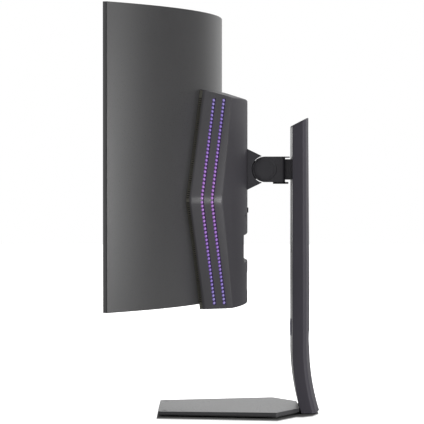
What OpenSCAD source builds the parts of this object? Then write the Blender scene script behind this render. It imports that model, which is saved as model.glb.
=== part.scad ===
// Curved desk monitor on a height-adjustable stand, with two V-shaped light bars
// set into the sides of its rear housing. Millimetres, +Z up, the screen faces -Y,
// and the origin is on the desk below the middle of the whole object.

/* [Panel] */
// Radius of the screen's curve
curve_r = 800; // [795:1:805]
// Half of the angle that the curved panel spans
wing_a = 37.9; // [37.5:0.1:38.5]
// Height of the panel
panel_h = 457.2; // [452:0.1:462]
// Height of the panel's lower edge, with the stand at its top
panel_z = 188.8; // [187:0.1:191]
// Thickness of the panel
panel_t = 8; // [8:0.1:8.4]
// Height of the bezel below the screen
chin_h = 9; // [6:0.5:14]
// Width of the bezel on the other three sides
rim_w = 1.5; // [1.2:0.1:3]

/* [Rear housing] */
// How far the housing's rear face stands behind the screen's face
housing_t = 50; // [50:0.1:50.6]
// Height of the housing's middle, where its sides come to a point
housing_z = 351.65; // [351:0.05:353]
// Half of the housing's height
housing_h2 = 171.05; // [168:0.05:172]
// Half of the housing's width at its middle
tip_x = 299; // [296:0.5:302]
// Half of the housing's width at its top and bottom
end_x = 240; // [236:0.5:244]
// Thickness of the housing's wall
wall = 2.5; // [2:0.1:2.6]
// Half of the port bay's width
bay_x2 = 110; // [108:0.5:112]
// Height of the port bay's floor
bay_z = 252.4; // [250:0.1:254]
// Height of the port bay
bay_h = 39.7; // [36:0.1:42]

/* [Light bars] */
// Distance of the bar's front edge behind the screen's face, along the curve's radius
bar_front = 17; // [16:0.5:18]
// How much further forward across the face that edge stands at the housing's middle
front_lead = 2.2; // [0:0.1:3]
// Thickness of the bar's moulded face
bar_t = 3; // [3:0.1:3.2]
// Distance between the two rows of lights, and from the first row to the edge
row_gap = 17.9; // [16:0.1:18]
// Distance between neighbouring lights in a row
led_pitch = 6.25; // [6:0.01:6.3]
// Lights in a row above the middle
leds_up = 27; // [10:1:27]
// Lights in a row below the middle
leds_down = 28; // [10:1:28]
// Diameter of one light's lens
lens_d = 4.4; // [3.6:0.1:4.8]
// Width of the groove that a row lies in
groove_w = 5.2; // [5:0.1:6]
// Distance between neighbouring cooling slots
slot_pitch = 3.51; // [3.3:0.01:4]

/* [Stand] */
// Travel of the lift
lift_travel = 120; // [60:1:120]
// Distance of the tilt axis behind the screen's face
tilt_y = 78.7; // [78:0.1:80]
// Height of the tilt axis, with the stand at its top
tilt_z = 398.9; // [397:0.1:400]
// Radius of the barrel round the tilt axis
barrel_r = 21; // [20:0.1:21.2]
// Distance of the swivel axis behind the screen's face
swivel_y = 104.9; // [104:0.1:105]
// Half of the arm's width
arm_x2 = 32; // [30:0.5:36]
// Half of the column's width
column_x2 = 65; // [64:0.5:68]
// Where the column's front face lies
column_y = 122.5; // [122.5:0.1:123]
// Height of the column's front edge
column_h = 470.3; // [468:0.1:474]
// Radius of the cable hole
cable_r = 11; // [10:0.1:12]
// Angle that the cable hole falls towards the rear
cable_a = 31; // [28:1:33]
// Height of the base's top above the desk at the column
base_h = 10; // [9.6:0.1:11]
// Height of the base's top above the desk at its front edge
base_front_h = 8.3; // [8:0.1:9.6]

/* [Hidden] */

$fn = 64;
arc_fn = 360;
gap = 0.3;
run_fit = 0.06;
far = 400;

// Radii about the screen's curve axis
skin_r = curve_r + panel_t;
shell_r = curve_r + housing_t;
edge_r = curve_r + bar_front;
// Housing heights
house_lo = housing_z - housing_h2;
house_hi = housing_z + housing_h2;
// Drop of the sloped rim round the housing's top, from its front to its rear
top_drop = 10.5;
// Rise of the housing's top from the bars' front edge to the panel
top_rise = 1.5;
// The light bar's front corner runs straight from the tip to each end
tip = [tip_x, on_arc(edge_r, tip_x), 0];
bar_end = [end_x, on_arc(edge_r, end_x), housing_h2];
limb_len = norm(bar_end - tip);
limb_u = (bar_end - tip) / limb_len;
// Plan angles of the bar's face and of the narrow return in front of it
face_th = 123;
front_tip = tip - front_lead * [cos(face_th), sin(face_th), 0];
front_u = (bar_end - front_tip) / norm(bar_end - front_tip);
return_th = 83;
return_r = edge_r - 3.7;
// Depth of the two grooves, and of the lens strips and boards behind the face
groove_d = 1.2;
strip_off = bar_t + 0.05;
strip_t = 0.8;
board_off = 4.9;
pcb_t = 1.6;
first_led = 3.5;
strip_w = 6.2;
// Heights and depths inside the housing, as Y
chassis_y = 8;
chassis_t = 1.8;
vesa_y = 36.2;
vesa_t = 3;
vesa_half = 50;
main_y = 12;
side_board_y = 14;
bay_floor_y = 21;
socket_y = 25;
port_z = bay_z + bay_h / 2;
// Outer width, outer height and X of each rectangular socket, and X of the others
video_ports = [[15.6, 6.4, -38], [15.6, 6.4, -12], [17.8, 6.6, 14]];
usb_ports = [[10.2, 9.6, 38], [14.2, 6.8, 58], [14.2, 6.8, 80]];
shell_t = 0.8;
optical_x = -62;
optical_w = 11;
dc_x = -86;
jack_x = 98;
// Release button below the bracket
release_z = 331.7;
// Joystick under the housing
joy_y = 20;
joy_z = 188;
// Screws that hold the rear cover: X and Z of the rear pair, X and Y of the lower pair
rear_screw = [80, 325];
low_screw = [120, 25];
// Tilt bracket, lug and shaft
bracket_x2 = 45;
lug_x2 = 10;
shaft_r = 6;
seat_r = barrel_r + 1.3;
bush_r = 8;
// Neck, swivel pin and eye
neck_x2 = 13;
neck_lo = 381.8;
neck_hi = 415.6;
pin_r = 5;
eye_bush_r = 7;
// Column
side_y = column_y + 17.7;
crown_x = 58;
crown_y = column_y + 23.1;
crown_h = 7;
column_wall = 2.2;
// Wall of the cable hole's lining, and how far its lip stands out in front
lining_t = 1.2;
lining_lip = 1.9;
slant_a = 27.4;
bend_z = 108;
column_foot_z = 1.2;
carriage_y = column_y + 3.5;
spine_y = column_y + 11.5;
rail_x = 46;
reel_x = 24;
reel_z = 452;
reel_r = 14;
// The foot's rear edge stands as far back as the wings reach forward, and the
// column bends at the radius that takes it there
rear_y = curve_r * (1 - cos(wing_a));
foot_back = rear_y - crown_y - crown_h;
foot_drop = bend_z - column_foot_z;
bend_r = (foot_drop * foot_drop + foot_back * foot_back) / (2 * foot_back)
    + crown_y + crown_h - column_y;
// Base
base_under = 4;
core_lo = 2.2;
tongue_x2 = 48;
tongue_y = 157;
screw_y = 149;
base_front = -96;
base_back = 133.4;
base_slope = (base_h - base_front_h) / (base_back - base_front);
plug_y = -85;

function on_arc(r, x) = -curve_r + sqrt(r * r - x * x);
function arc_deg(d) = d / curve_r * 180 / PI;
function unit(v) = v / norm(v);
function plane_n(th, u) = unit(cross([cos(th), sin(th), 0], u));
// Turn, within the plane, from its steepest line to the direction u
function limb_turn(n, u) = let(el = asin(n[2]), az = atan2(n[1], n[0]))
    atan2(-(u * [-sin(az), cos(az), 0]),
          -(u * [sin(el) * cos(az), sin(el) * sin(az), -cos(el)]));
mitre = -tan(limb_turn(plane_n(face_th, limb_u), limb_u));
// Points of a rounded corner at p, between its neighbours a and b
function corner(a, p, b, r, n = 6) =
    let(u = unit(a - p), v = unit(b - p), half = acos(u * v) / 2,
        c = p + unit(u + v) * r / sin(half), s = p + u * r / tan(half) - c,
        e = p + v * r / tan(half) - c, a0 = atan2(s[1], s[0]), raw = atan2(e[1], e[0]) - a0,
        turn = raw > 180 ? raw - 360 : raw < -180 ? raw + 360 : raw)
    [for (i = [0 : n]) c + r * [cos(a0 + turn * i / n), sin(a0 + turn * i / n)]];
function rounded(pts, r) = let(n = len(pts))
    [for (i = [0 : n - 1]) each corner(pts[(i + n - 1) % n], pts[i], pts[(i + 1) % n], r[i])];

// ---- Shared shapes ----

// Polygon of [radius, height] turned about the screen's curve axis
module sector(pts, a0, a1) {
    translate([0, -curve_r, 0]) rotate([0, 0, 90 - a1])
        rotate_extrude(angle = a1 - a0, $fn = arc_fn) polygon(pts);
}

module arc_wall(r0, r1, z0, z1, a) {
    sector([[r0, z0], [r1, z0], [r1, z1], [r0, z1]], -a, a);
}

module box(x0, x1, y0, y1, z0, z1) {
    translate([x0, y0, z0]) cube([x1 - x0, y1 - y0, z1 - z0]);
}

module rod_x(r, x0, x1, y, z) {
    translate([x0, y, z]) rotate([0, 90, 0]) cylinder(r = r, h = x1 - x0);
}

module rod_y(r, y0, y1, x, z) {
    translate([x, y0, z]) rotate([-90, 0, 0]) cylinder(r = r, h = y1 - y0);
}

module left() {
    mirror([1, 0, 0]) children();
}

module both_sides() {
    children();
    mirror([1, 0, 0]) children();
}

// Child drawn above the housing's middle, and its mirror image below
module both_limbs() {
    children();
    below() children();
}

module below() {
    translate([0, 0, 2 * housing_z]) mirror([0, 0, 1]) children();
}

// Frame on a plane of the right side's upper limb, which holds the direction u and
// the plan angle th: -X runs up along u, +Y towards the rear, and +Z outwards
module on_plane(p, u, th) {
    n = plane_n(th, u);
    translate([p[0], p[1], housing_z])
        rotate([0, 90 - asin(n[2]), atan2(n[1], n[0])])
        rotate([0, 0, limb_turn(n, u)]) children();
}

module on_face() {
    on_plane(tip, limb_u, face_th) children();
}

module on_return() {
    on_plane(front_tip, front_u, return_th) children();
}

// Everything outside the face and the return, each moved inwards by off
module outside(off, with_face = true, with_return = true) {
    both_limbs() {
        if (with_face) on_face() translate([-far, -far, -off]) cube([2 * far, 2 * far, far]);
        if (with_return) on_return() translate([-far, -far, -off]) cube([2 * far, 2 * far, far]);
    }
}

// Half section of the housing as [radius, height], moved inwards by off
function house_section(r0, off) = let(r1 = shell_r - off, lo = house_lo + off, hi = house_hi - off,
        edge = 1.5)
    [[r0, lo], [r1 - edge, lo], [r1, lo + edge], [r1, hi - top_drop], [edge_r, hi], [r0, hi + top_rise]];

module housing_block(r0, off, side_off, a0, a1) {
    difference() {
        sector(house_section(r0, off), a0, a1);
        if (a1 > 0) outside(side_off);
        if (a0 < 0) left() outside(side_off);
    }
}

// ---- Panel ----

module display_panel() {
    color("#101114") arc_wall(curve_r + 0.5, curve_r + 3.1, panel_z + chin_h + 0.2,
        panel_z + panel_h - rim_w - 0.2, wing_a - arc_deg(rim_w + 0.2));
}

module bezel_frame() {
    color("#3a3a3d") difference() {
        arc_wall(curve_r, skin_r - 2.2, panel_z, panel_z + panel_h, wing_a);
        arc_wall(curve_r - 1, skin_r, panel_z + chin_h, panel_z + panel_h - rim_w,
            wing_a - arc_deg(rim_w));
    }
}

module panel_chassis() {
    color("silver") arc_wall(curve_r + 3.3, curve_r + 5.1, panel_z + chin_h + 0.5,
        panel_z + panel_h - rim_w - 0.5, wing_a - arc_deg(rim_w + 0.5));
}

module back_cover() {
    window_x = 150;
    window_z = [240, 470];
    color("#4c4c4c") difference() {
        arc_wall(skin_r - 2.2, skin_r, panel_z, panel_z + panel_h, wing_a);
        box(-window_x, window_x, -60, 60, window_z[0], window_z[1]);
    }
}

// ---- Rear housing ----

module bay_box(grow, y0, y1) {
    box(-bay_x2 - grow, bay_x2 + grow, y0, y1, bay_z - grow, bay_z + bay_h + grow);
}

module vesa_spots() {
    for (x = [-1, 1], z = [-1, 1]) translate([x * vesa_half, 0, tilt_z + z * vesa_half]) children();
}

module rear_cover() {
    side_a = 24;
    seam = 0.1;
    lip = 6;
    label_x2_a = 4.05;
    color("#46434a") difference() {
        union() {
            difference() {
                housing_block(skin_r + 0.1, 0, bar_t + seam, -side_a, side_a);
                sector(house_section(skin_r - 2, wall), -side_a - 1, side_a + 1);
            }
            intersection() {
                bay_box(2, bay_floor_y, shell_r);
                arc_wall(skin_r + 1, shell_r - 1, house_lo, house_hi, side_a);
            }
        }
        bay_box(0, bay_floor_y - 1, shell_r);
        translate([-bay_x2, housing_t - lip, bay_z]) rotate([-30, 0, 0]) cube([2 * bay_x2, 12, 6]);
        box(-36.2, 36.2, 40, 60, tilt_z - 28.2, tilt_z + 28.2);
        vesa_spots() rod_y(4.5, 40, 60, 0, 0);
        box(-15.3, 15.3, 40, 60, release_z - 4.3, release_z + 4.3);
        sector([[shell_r - 0.8, 199.6], [shell_r + 1, 199.6], [shell_r + 1, 231],
            [shell_r - 0.8, 231]], -label_x2_a, label_x2_a);
        both_sides() {
            rod_y(3.4, 44.9, 50, rear_screw[0], rear_screw[1]);
            rod_y(1.6, 40, 50, rear_screw[0], rear_screw[1]);
            translate([low_screw[0], low_screw[1], house_lo - 1]) cylinder(r = 1.6, h = 5);
        }
        translate([0, joy_y, house_lo - 1]) cylinder(r = 5, h = 5);
    }
}

module vent_strip() {
    slots = 48;
    slot_h = 1.6;
    slot_w = 3;
    strip_in = 1;
    color("#2b2b2e") difference() {
        vent_block(skin_r + 0.4, return_r - 0.2, strip_in, house_lo, house_hi, 8);
        vent_block(skin_r - 1, return_r + 2, strip_in + 2, house_lo - 1, house_hi + 1, 7);
        both_limbs() on_return() for (i = [1 : slots])
            translate([-i * slot_pitch - slot_h, -8.1, -6]) cube([slot_h, slot_w, 8]);
    }
}

module vent_block(r0, r1, off, z0, z1, a0) {
    difference() {
        sector([[r0, z0], [r1, z0], [r1, z1], [r0, z1]], a0, 24);
        outside(off, with_face = false);
    }
}

module vent_strip_right() vent_strip();
module vent_strip_left() left() vent_strip();

// ---- Light bars ----

// Child at each light of one row, counted from the tip, on the upper limb's frame
module along_row(row, count) {
    for (i = [0 : count - 1])
        translate([-(mitre * row * row_gap + first_led + i * led_pitch), row * row_gap, 0]) children();
}

module bar_block(off, r0, r1, grow, a0) {
    section = [[r0, house_lo - grow], [r1 - 1.5, house_lo - grow], [r1, house_lo - grow + 1.5],
        [r1, house_hi + grow - top_drop], [edge_r, house_hi + grow], [r0, house_hi + grow]];
    difference() {
        sector(section, a0, 24);
        outside(off);
    }
}

module light_bar() {
    color("#525154") difference() {
        bar_block(0, return_r, shell_r, 0, 10);
        bar_block(bar_t, return_r - 2, shell_r + 2, 2, 9);
        on_face() row_cuts(leds_up);
        below() on_face() row_cuts(leds_down);
    }
}

// Groove of each row, which ends just past its last light, and a hole for every light
module row_cuts(count) {
    run = first_led + (count - 1) * led_pitch + groove_w / 2;
    for (row = [1, 2]) {
        translate([-mitre * row * row_gap - run, row * row_gap - groove_w / 2, -groove_d])
            cube([run + 1, groove_w, 5]);
        along_row(row, count) lens_hole();
    }
}

module lens_hole() {
    translate([0, 0, -bar_t - 2]) cylinder(d = lens_d + 0.2, h = bar_t + 3, $fn = 24);
}

module light_bar_right() light_bar();
module light_bar_left() left() light_bar();

// A lens strip per row: a thin bar behind the face with a domed peg for each light
module lens_strip(row, count) {
    start = mitre * row * row_gap + 1;
    run = first_led + count * led_pitch - 3;
    translate([-start - run, row * row_gap - strip_w / 2, -strip_off - strip_t])
        cube([run, strip_w, strip_t]);
    along_row(row, count) {
        translate([0, 0, -strip_off - 0.1]) cylinder(d = lens_d, h = strip_off - 0.7, $fn = 24);
        translate([0, 0, -0.8]) cylinder(d1 = lens_d, d2 = lens_d * 0.6, h = 0.6, $fn = 24);
    }
}

module led_lenses() {
    color("#b06cff") {
        on_face() for (row = [1, 2]) lens_strip(row, leds_up);
        below() on_face() for (row = [1, 2]) lens_strip(row, leds_down);
    }
}

module led_lenses_right() led_lenses();
module led_lenses_left() left() led_lenses();

// Board on each limb, with a light-emitting chip under every lens
module led_board_limb(count) {
    chip = 3;
    edge = 5.5;
    near = row_gap - edge;
    wide = 2 * row_gap + edge;
    end = first_led + count * led_pitch - 1;
    translate([0, 0, -board_off - pcb_t]) linear_extrude(pcb_t)
        polygon([[-mitre * near - 2.2, near], [-mitre * wide - 2.2, wide],
            [-mitre * row_gap - end, wide], [-mitre * row_gap - end, near]]);
    for (row = [1, 2]) along_row(row, count)
        translate([-chip / 2, -chip / 2, -board_off - 0.1]) cube([chip, chip, 0.9]);
}

module led_board() {
    color("#1d5a3a") {
        on_face() led_board_limb(leds_up);
        below() on_face() led_board_limb(leds_down);
    }
}

module led_board_right() led_board();
module led_board_left() left() led_board();

// ---- Inside the housing ----

module chassis_bracket() {
    x2 = 185;
    z = [205, 498];
    back = chassis_y + chassis_t;
    tab_x2 = 6;
    tab_z = 186;
    color("silver") {
        both_sides() difference() {
            union() {
                rod_y(3.5, back - 0.1, 42.5, rear_screw[0], rear_screw[1]);
                box(low_screw[0] - tab_x2, low_screw[0] + tab_x2, chassis_y, back, tab_z, z[0] + 0.1);
                box(low_screw[0] - tab_x2, low_screw[0] + tab_x2, chassis_y, 31, tab_z, tab_z + 2.5);
            }
            rod_y(1.55, 33, 44, rear_screw[0], rear_screw[1]);
            translate([low_screw[0], low_screw[1], tab_z - 1]) cylinder(r = 1.55, h = 5);
        }
        difference() {
            box(-x2, x2, chassis_y, back, z[0], z[1]);
            both_sides() {
                box(90, 170, chassis_y - 1, back + 1, 222, 300);
                box(90, 170, chassis_y - 1, back + 1, 430, 482);
            }
        }
        both_sides() for (zz = [214, 489]) rod_y(4, -5, chassis_y, 150, zz);
        both_sides() for (zz = [246, 305]) rod_y(3, back, main_y, 80, zz);
        both_sides() for (zz = [346, 414], xx = [90, 160]) rod_y(3, back, side_board_y, xx, zz);
    }
}

module vesa_plate() {
    x2 = 70;
    z = [318, 470];
    foot = chassis_y + chassis_t;
    color("gray") difference() {
        union() {
            box(-x2, x2, vesa_y, vesa_y + vesa_t, z[0], z[1]);
            both_sides() box(x2 - 3, x2, foot, vesa_y + 1, z[0], z[1]);
        }
        bracket_screw_spots() rod_y(2.6, 30, 45, 0, 0);
    }
}

module vesa_inserts() {
    color("goldenrod") vesa_spots() difference() {
        rod_y(4.4, vesa_y + vesa_t, 48.2, 0, 0);
        rod_y(2.1, vesa_y + vesa_t + 1, 50, 0, 0);
    }
}

module main_board() {
    color("#1d5a3a") {
        box(-105, 105, main_y, main_y + 1.6, 240, 312);
        box(-30, 0, main_y + 1.5, main_y + 8, 298, 311);
        for (x = [30 : 14 : 86]) box(x, x + 9, main_y + 1.5, main_y + 5, 300, 309);
    }
}

module led_driver_board() {
    color("#1d5a3a") {
        box(84, 166, side_board_y, side_board_y + 1.6, 340, 420);
        for (z = [352 : 16 : 400]) box(96, 110, side_board_y + 1.5, side_board_y + 6, z, z + 9);
        box(130, 150, side_board_y + 1.5, side_board_y + 5, 366, 386);
    }
}

module power_board() {
    color("#1d5a3a") {
        box(-166, -84, side_board_y, side_board_y + 1.6, 340, 420);
        for (z = [356, 384]) rod_y(6, side_board_y + 1.5, side_board_y + 13, -104, z);
        box(-152, -124, side_board_y + 1.5, side_board_y + 11, 362, 392);
    }
}

module port_block(p, grow, y0, y1) {
    box(p[2] - p[0] / 2 - grow, p[2] + p[0] / 2 + grow, y0, y1,
        port_z - p[1] / 2 - grow, port_z + p[1] / 2 + grow);
}

module port_shell(p) {
    difference() {
        port_block(p, 0, main_y + 1.6, socket_y);
        port_block(p, -shell_t, main_y + 3, socket_y + 1);
    }
}

module io_bracket() {
    color("#26262a") difference() {
        box(-bay_x2 + 0.2, bay_x2 - 0.2, bay_floor_y, bay_floor_y + 1.4, bay_z + 0.2, bay_z + bay_h - 0.2);
        for (p = concat(video_ports, usb_ports)) port_block(p, 0.3, bay_floor_y - 1, bay_floor_y + 3);
        port_block([optical_w, optical_w, optical_x], 0.3, bay_floor_y - 1, bay_floor_y + 3);
        rod_y(6.3, bay_floor_y - 1, bay_floor_y + 3, dc_x, port_z);
        rod_y(4.3, bay_floor_y - 1, bay_floor_y + 3, jack_x, port_z);
    }
}

module video_sockets() {
    color("silver") for (p = video_ports) port_shell(p);
}

module usb_sockets() {
    color("silver") for (p = usb_ports) port_shell(p);
}

module audio_sockets() {
    color("#26262a") {
        difference() {
            rod_y(4, main_y + 1.6, socket_y, jack_x, port_z);
            rod_y(1.8, main_y + 3, socket_y + 1, jack_x, port_z);
        }
        difference() {
            port_block([optical_w, optical_w, optical_x], 0, main_y + 1.6, socket_y);
            rod_y(1.6, main_y + 3, socket_y + 1, optical_x, port_z);
        }
    }
}

module dc_inlet() {
    color("#1c1c1f") {
        difference() {
            rod_y(6, main_y + 1.6, socket_y, dc_x, port_z);
            rod_y(3.3, main_y + 3, socket_y + 1, dc_x, port_z);
        }
        rod_y(0.8, main_y + 2.5, socket_y - 1.5, dc_x, port_z);
    }
}

module label_plate() {
    color("#5a5a60") sector([[shell_r - 0.8, 201.6], [shell_r - 0.5, 201.6],
        [shell_r - 0.5, 229], [shell_r - 0.8, 229]], -3.9, 3.9);
}

module cover_screws() {
    color("#1b1b1d") {
        both_sides() {
            rod_y(3.2, 45, 45.8, rear_screw[0], rear_screw[1]);
            rod_y(1.5, 35, 45.1, rear_screw[0], rear_screw[1]);
            translate([low_screw[0], low_screw[1], house_lo - 0.9]) cylinder(r = 2.8, h = 0.9);
            translate([low_screw[0], low_screw[1], house_lo - 0.5]) cylinder(r = 1.5, h = 9);
        }
    }
}

// ---- Joystick ----

module joystick_board() {
    post_lo = house_lo + wall + 0.1;
    color("#1d5a3a") difference() {
        union() {
            box(-16, 16, joy_y - 10, joy_y + 10, 195, 196.6);
            both_sides() box(7.5, 10.5, joy_y - 4, joy_y + 4, post_lo, 195.1);
        }
        rod_x(0.8, -9.7, 9.7, joy_y, joy_z);
    }
}

module joystick_gimbal() {
    color("#c8c8cc") {
        difference() {
            translate([0, joy_y, joy_z - 1.5]) cylinder(r = 6.2, h = 3);
            translate([0, joy_y, joy_z - 3]) cylinder(r = 4.4, h = 6);
            rod_y(0.8, joy_y - 8, joy_y + 8, 0, joy_z);
        }
        both_sides() rod_x(0.75, 5.8, 9.5, joy_y, joy_z);
    }
}

module joystick_stem() {
    color("#c8c8cc") {
        translate([0, joy_y, 176]) cylinder(r = 1.5, h = joy_z - 176);
        translate([0, joy_y, joy_z]) sphere(r = 2.8);
        rod_y(0.75, joy_y - 5.8, joy_y + 5.8, 0, joy_z);
    }
}

module joystick_cap() {
    cap_lo = 172.5;
    color("#222225") difference() {
        translate([0, joy_y, cap_lo]) cylinder(r = 6.5, h = 5.2);
        translate([0, joy_y, cap_lo + 2]) cylinder(r = 1.56, h = 6);
        translate([0, joy_y, cap_lo - 17]) sphere(r = 18);
    }
}

// ---- Release button and its latch ----

module release_button() {
    color("#2c2a2f") {
        box(-15, 15, 46, housing_t + 1.4, release_z - 4, release_z + 4);
        box(-18, 18, 44.5, 46.6, release_z - 6.5, release_z + 6.5);
    }
}

module release_latch() {
    color("silver") difference() {
        box(-8, 8, 42.1, 44.5, release_z - 4, tilt_z - 27.5 - gap);
        box(-4, 4, 41, 46, release_z + 12, release_z + 26);
    }
}

// ---- Tilt bracket ----

module bracket_screw_spots() {
    for (x = [-25, 25], z = [-20, 20]) translate([x, 0, tilt_z + z]) children();
}

module tilt_bracket() {
    root_z = 36;
    tip_y = 73.2;
    tip_z = 21.8;
    profile = [[44, -root_z], [tip_y, -tip_z], [tip_y, tip_z], [44, root_z]];
    color("#353439") difference() {
        union() {
            difference() {
                translate([-bracket_x2, 0, tilt_z]) rotate([90, 0, 90])
                    linear_extrude(2 * bracket_x2) polygon(profile);
                arc_wall(skin_r, shell_r + 0.3, tilt_z - 60, tilt_z + 60, 8);
                rod_x(seat_r, -bracket_x2 - 1, bracket_x2 + 1, tilt_y, tilt_z);
            }
            box(-35.5, 35.5, vesa_y + vesa_t, 52, tilt_z - 27.5, tilt_z + 27.5);
            box(-lug_x2, lug_x2, 52, tilt_y, tilt_z - 7, tilt_z + 7);
            box(-lug_x2, lug_x2, 51, tilt_y - 8, tilt_z - 16, tilt_z + 14);
            rod_x(10.5, -lug_x2, lug_x2, tilt_y, tilt_z);
        }
        rod_x(shaft_r, -lug_x2 - 1, lug_x2 + 1, tilt_y, tilt_z);
        bracket_screw_spots() rod_y(2.55, vesa_y, 50, 0, 0);
    }
}

module bracket_screws() {
    color("silver") bracket_screw_spots() {
        rod_y(4.5, vesa_y - 3.4, vesa_y, 0, 0);
        rod_y(2.5, vesa_y - 1, 49.5, 0, 0);
    }
}

module tilt_shaft() {
    color("lightgray") rod_x(shaft_r - 0.02, -arm_x2 + 1.5, arm_x2 - 1.5, tilt_y, tilt_z);
}

// ---- Arm ----

module arm_body() {
    rear = swivel_y + 6.6;
    round_r = 5;
    cap_t = 2;
    top = tilt_z + barrel_r;
    color("#333237") difference() {
        union() {
            rod_x(barrel_r, -arm_x2, arm_x2, tilt_y, tilt_z);
            box(-arm_x2, arm_x2, tilt_y, rear - round_r, tilt_z - barrel_r, top);
            box(-arm_x2 + round_r, arm_x2 - round_r, tilt_y, rear, tilt_z - barrel_r, top);
            both_sides() translate([arm_x2 - round_r, rear - round_r, tilt_z - barrel_r])
                cylinder(r = round_r, h = 2 * barrel_r);
        }
        box(-lug_x2 - 0.4, lug_x2 + 0.4, tilt_y - 30, tilt_y + 1, tilt_z - 30, tilt_z + 30);
        rod_x(11.2, -lug_x2 - 0.4, lug_x2 + 0.4, tilt_y, tilt_z);
        rod_x(bush_r + 0.03, -arm_x2 + 1.3, arm_x2 - 1.3, tilt_y, tilt_z);
        both_sides() rod_x(19, arm_x2 - 1.4, arm_x2 + 1, tilt_y, tilt_z);
        translate([0, swivel_y, neck_lo - 0.4]) cylinder(r = neck_x2 + 0.6, h = neck_hi - neck_lo + 0.8);
        box(-neck_x2 - 1.6, neck_x2 + 1.6, swivel_y, rear + 1, neck_lo - 0.4, neck_hi + 0.4);
        translate([0, swivel_y, tilt_z - barrel_r - 1]) cylinder(r = pin_r, h = 2 * barrel_r + 2);
        translate([0, swivel_y, top - cap_t]) cylinder(r = 15.05, h = cap_t + 1);
    }
}

module tilt_bushes() {
    color("goldenrod") both_sides() difference() {
        rod_x(bush_r, lug_x2 + 0.6, arm_x2 - 1.5, tilt_y, tilt_z);
        rod_x(shaft_r + run_fit - 0.02, lug_x2, arm_x2, tilt_y, tilt_z);
    }
}

module barrel_caps() {
    color("#2c2b30") both_sides() rod_x(18.9, arm_x2 - 1.3, arm_x2, tilt_y, tilt_z);
}

module swivel_pin() {
    color("lightgray") translate([0, swivel_y, tilt_z - barrel_r + 0.1])
        cylinder(r = pin_r - 0.02, h = 2 * barrel_r - 2.2);
}

module swivel_cap_top() {
    color("#2c2b30") translate([0, swivel_y, tilt_z + barrel_r - 2]) cylinder(r = 15, h = 2);
}

module swivel_cap_bottom() {
    color("#2c2b30") translate([0, swivel_y, tilt_z - barrel_r - 3]) cylinder(r = 12.8, h = 3);
}

// ---- Lift carriage and its springs ----

module lift_carriage() {
    plate_x2 = 44;
    color("#2a2a2e") difference() {
        union() {
            box(-plate_x2, plate_x2, carriage_y, carriage_y + 5, 368, 430);
            box(-neck_x2, neck_x2, swivel_y, carriage_y + 1, neck_lo, neck_hi);
            translate([0, swivel_y, neck_lo]) cylinder(r = neck_x2, h = neck_hi - neck_lo);
        }
        translate([0, swivel_y, neck_lo - 1]) cylinder(r = eye_bush_r, h = 40);
    }
}

module swivel_bush() {
    color("goldenrod") translate([0, swivel_y, neck_lo + 0.1]) difference() {
        cylinder(r = eye_bush_r - 0.03, h = neck_hi - neck_lo - 0.2);
        translate([0, 0, -1]) cylinder(r = pin_r + run_fit - 0.02, h = 40);
    }
}

module carriage_pads() {
    color("white") both_sides() for (z = [372, 414])
        box(44, 51.7, carriage_y + 0.2, carriage_y + 4.8, z, z + 12);
}

module reel() {
    translate([reel_x, 0, reel_z]) difference() {
        rod_y(reel_r, carriage_y + 0.8, carriage_y + 5.8, 0, 0);
        rod_y(2.56, carriage_y, carriage_y + 7, 0, 0);
        for (a = [0 : 60 : 300]) rod_y(2, carriage_y, carriage_y + 7, 8 * cos(a), 8 * sin(a));
    }
}

module spring_reel_right() color("#9a9a9a") reel();
module spring_reel_left() color("#9a9a9a") left() reel();

module spring_tapes() {
    color("silver") both_sides()
        box(reel_x + reel_r + 0.1, reel_x + reel_r + 0.7, carriage_y + 1.2, carriage_y + 4.8, 430, reel_z);
}

module reel_axles() {
    color("lightgray") both_sides() rod_y(2.5, column_y + 2.8, spine_y, reel_x, reel_z);
}

module guide_rails() {
    color("silver") both_sides() difference() {
        box(rail_x, rail_x + 14, column_y + 2.5, spine_y, 236, 462);
        box(rail_x - 1, rail_x + 6, carriage_y - 0.1, carriage_y + 5.1, 235, 463);
    }
}

// ---- Column ----

// The column in plan: flat sides, a chamfer, and two facets that meet in a ridge at the rear
function column_points(inset, front) = let(x2 = column_x2 - inset, ridge_y = crown_y + crown_h - inset)
    [[-x2, front], [x2, front], [x2, side_y - inset * 0.4], [crown_x - inset, crown_y - inset],
        [0, ridge_y], [inset - crown_x, crown_y - inset], [-x2, side_y - inset * 0.4]];

// Child, a plan section, carried up the column and back along its bent foot
module along_column() {
    axis_y = column_y + bend_r;
    translate([0, 0, bend_z]) linear_extrude(far) children();
    translate([0, axis_y, bend_z]) rotate([90, 180, 90])
        rotate_extrude(angle = 18, $fn = arc_fn) translate([axis_y, 0]) rotate(90) children();
}

module above_slant(off) {
    translate([-far / 2, column_y, column_h]) rotate([slant_a, 0, 0])
        translate([0, -far / 2, off]) cube(far);
}

module cable_line(r, h) {
    mouth_z = 137.7;
    depth = 29.5;
    translate([0, column_y + depth / 2, mouth_z - depth / 2 * tan(cable_a)])
        rotate([-90 - cable_a, 0, 0]) cylinder(r = r, h = h, center = true);
}

module below_desk(z) {
    box(-far / 2, far / 2, 0, far, -far, z);
}

module column_shell() {
    color("#3f3d43") difference() {
        along_column() difference() {
            polygon(column_points(0, column_y));
            polygon(column_points(column_wall, column_y - 1));
        }
        above_slant(-2.3);
        below_desk(column_foot_z);
        cable_line(cable_r + lining_t + 0.1, 90);
    }
}

module column_front() {
    slot_x2 = neck_x2 + 0.8;
    color("#97979a") difference() {
        along_column() translate([-column_x2 + column_wall + 0.2, column_y])
            square([2 * (column_x2 - column_wall - 0.2), column_wall]);
        above_slant(-2.3);
        below_desk(base_h + gap);
        cable_line(cable_r + lining_t + 0.1, 90);
        box(-slot_x2, slot_x2, column_y - 1, column_y + 4, neck_lo - lift_travel - 1, neck_hi + 1);
    }
}

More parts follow.
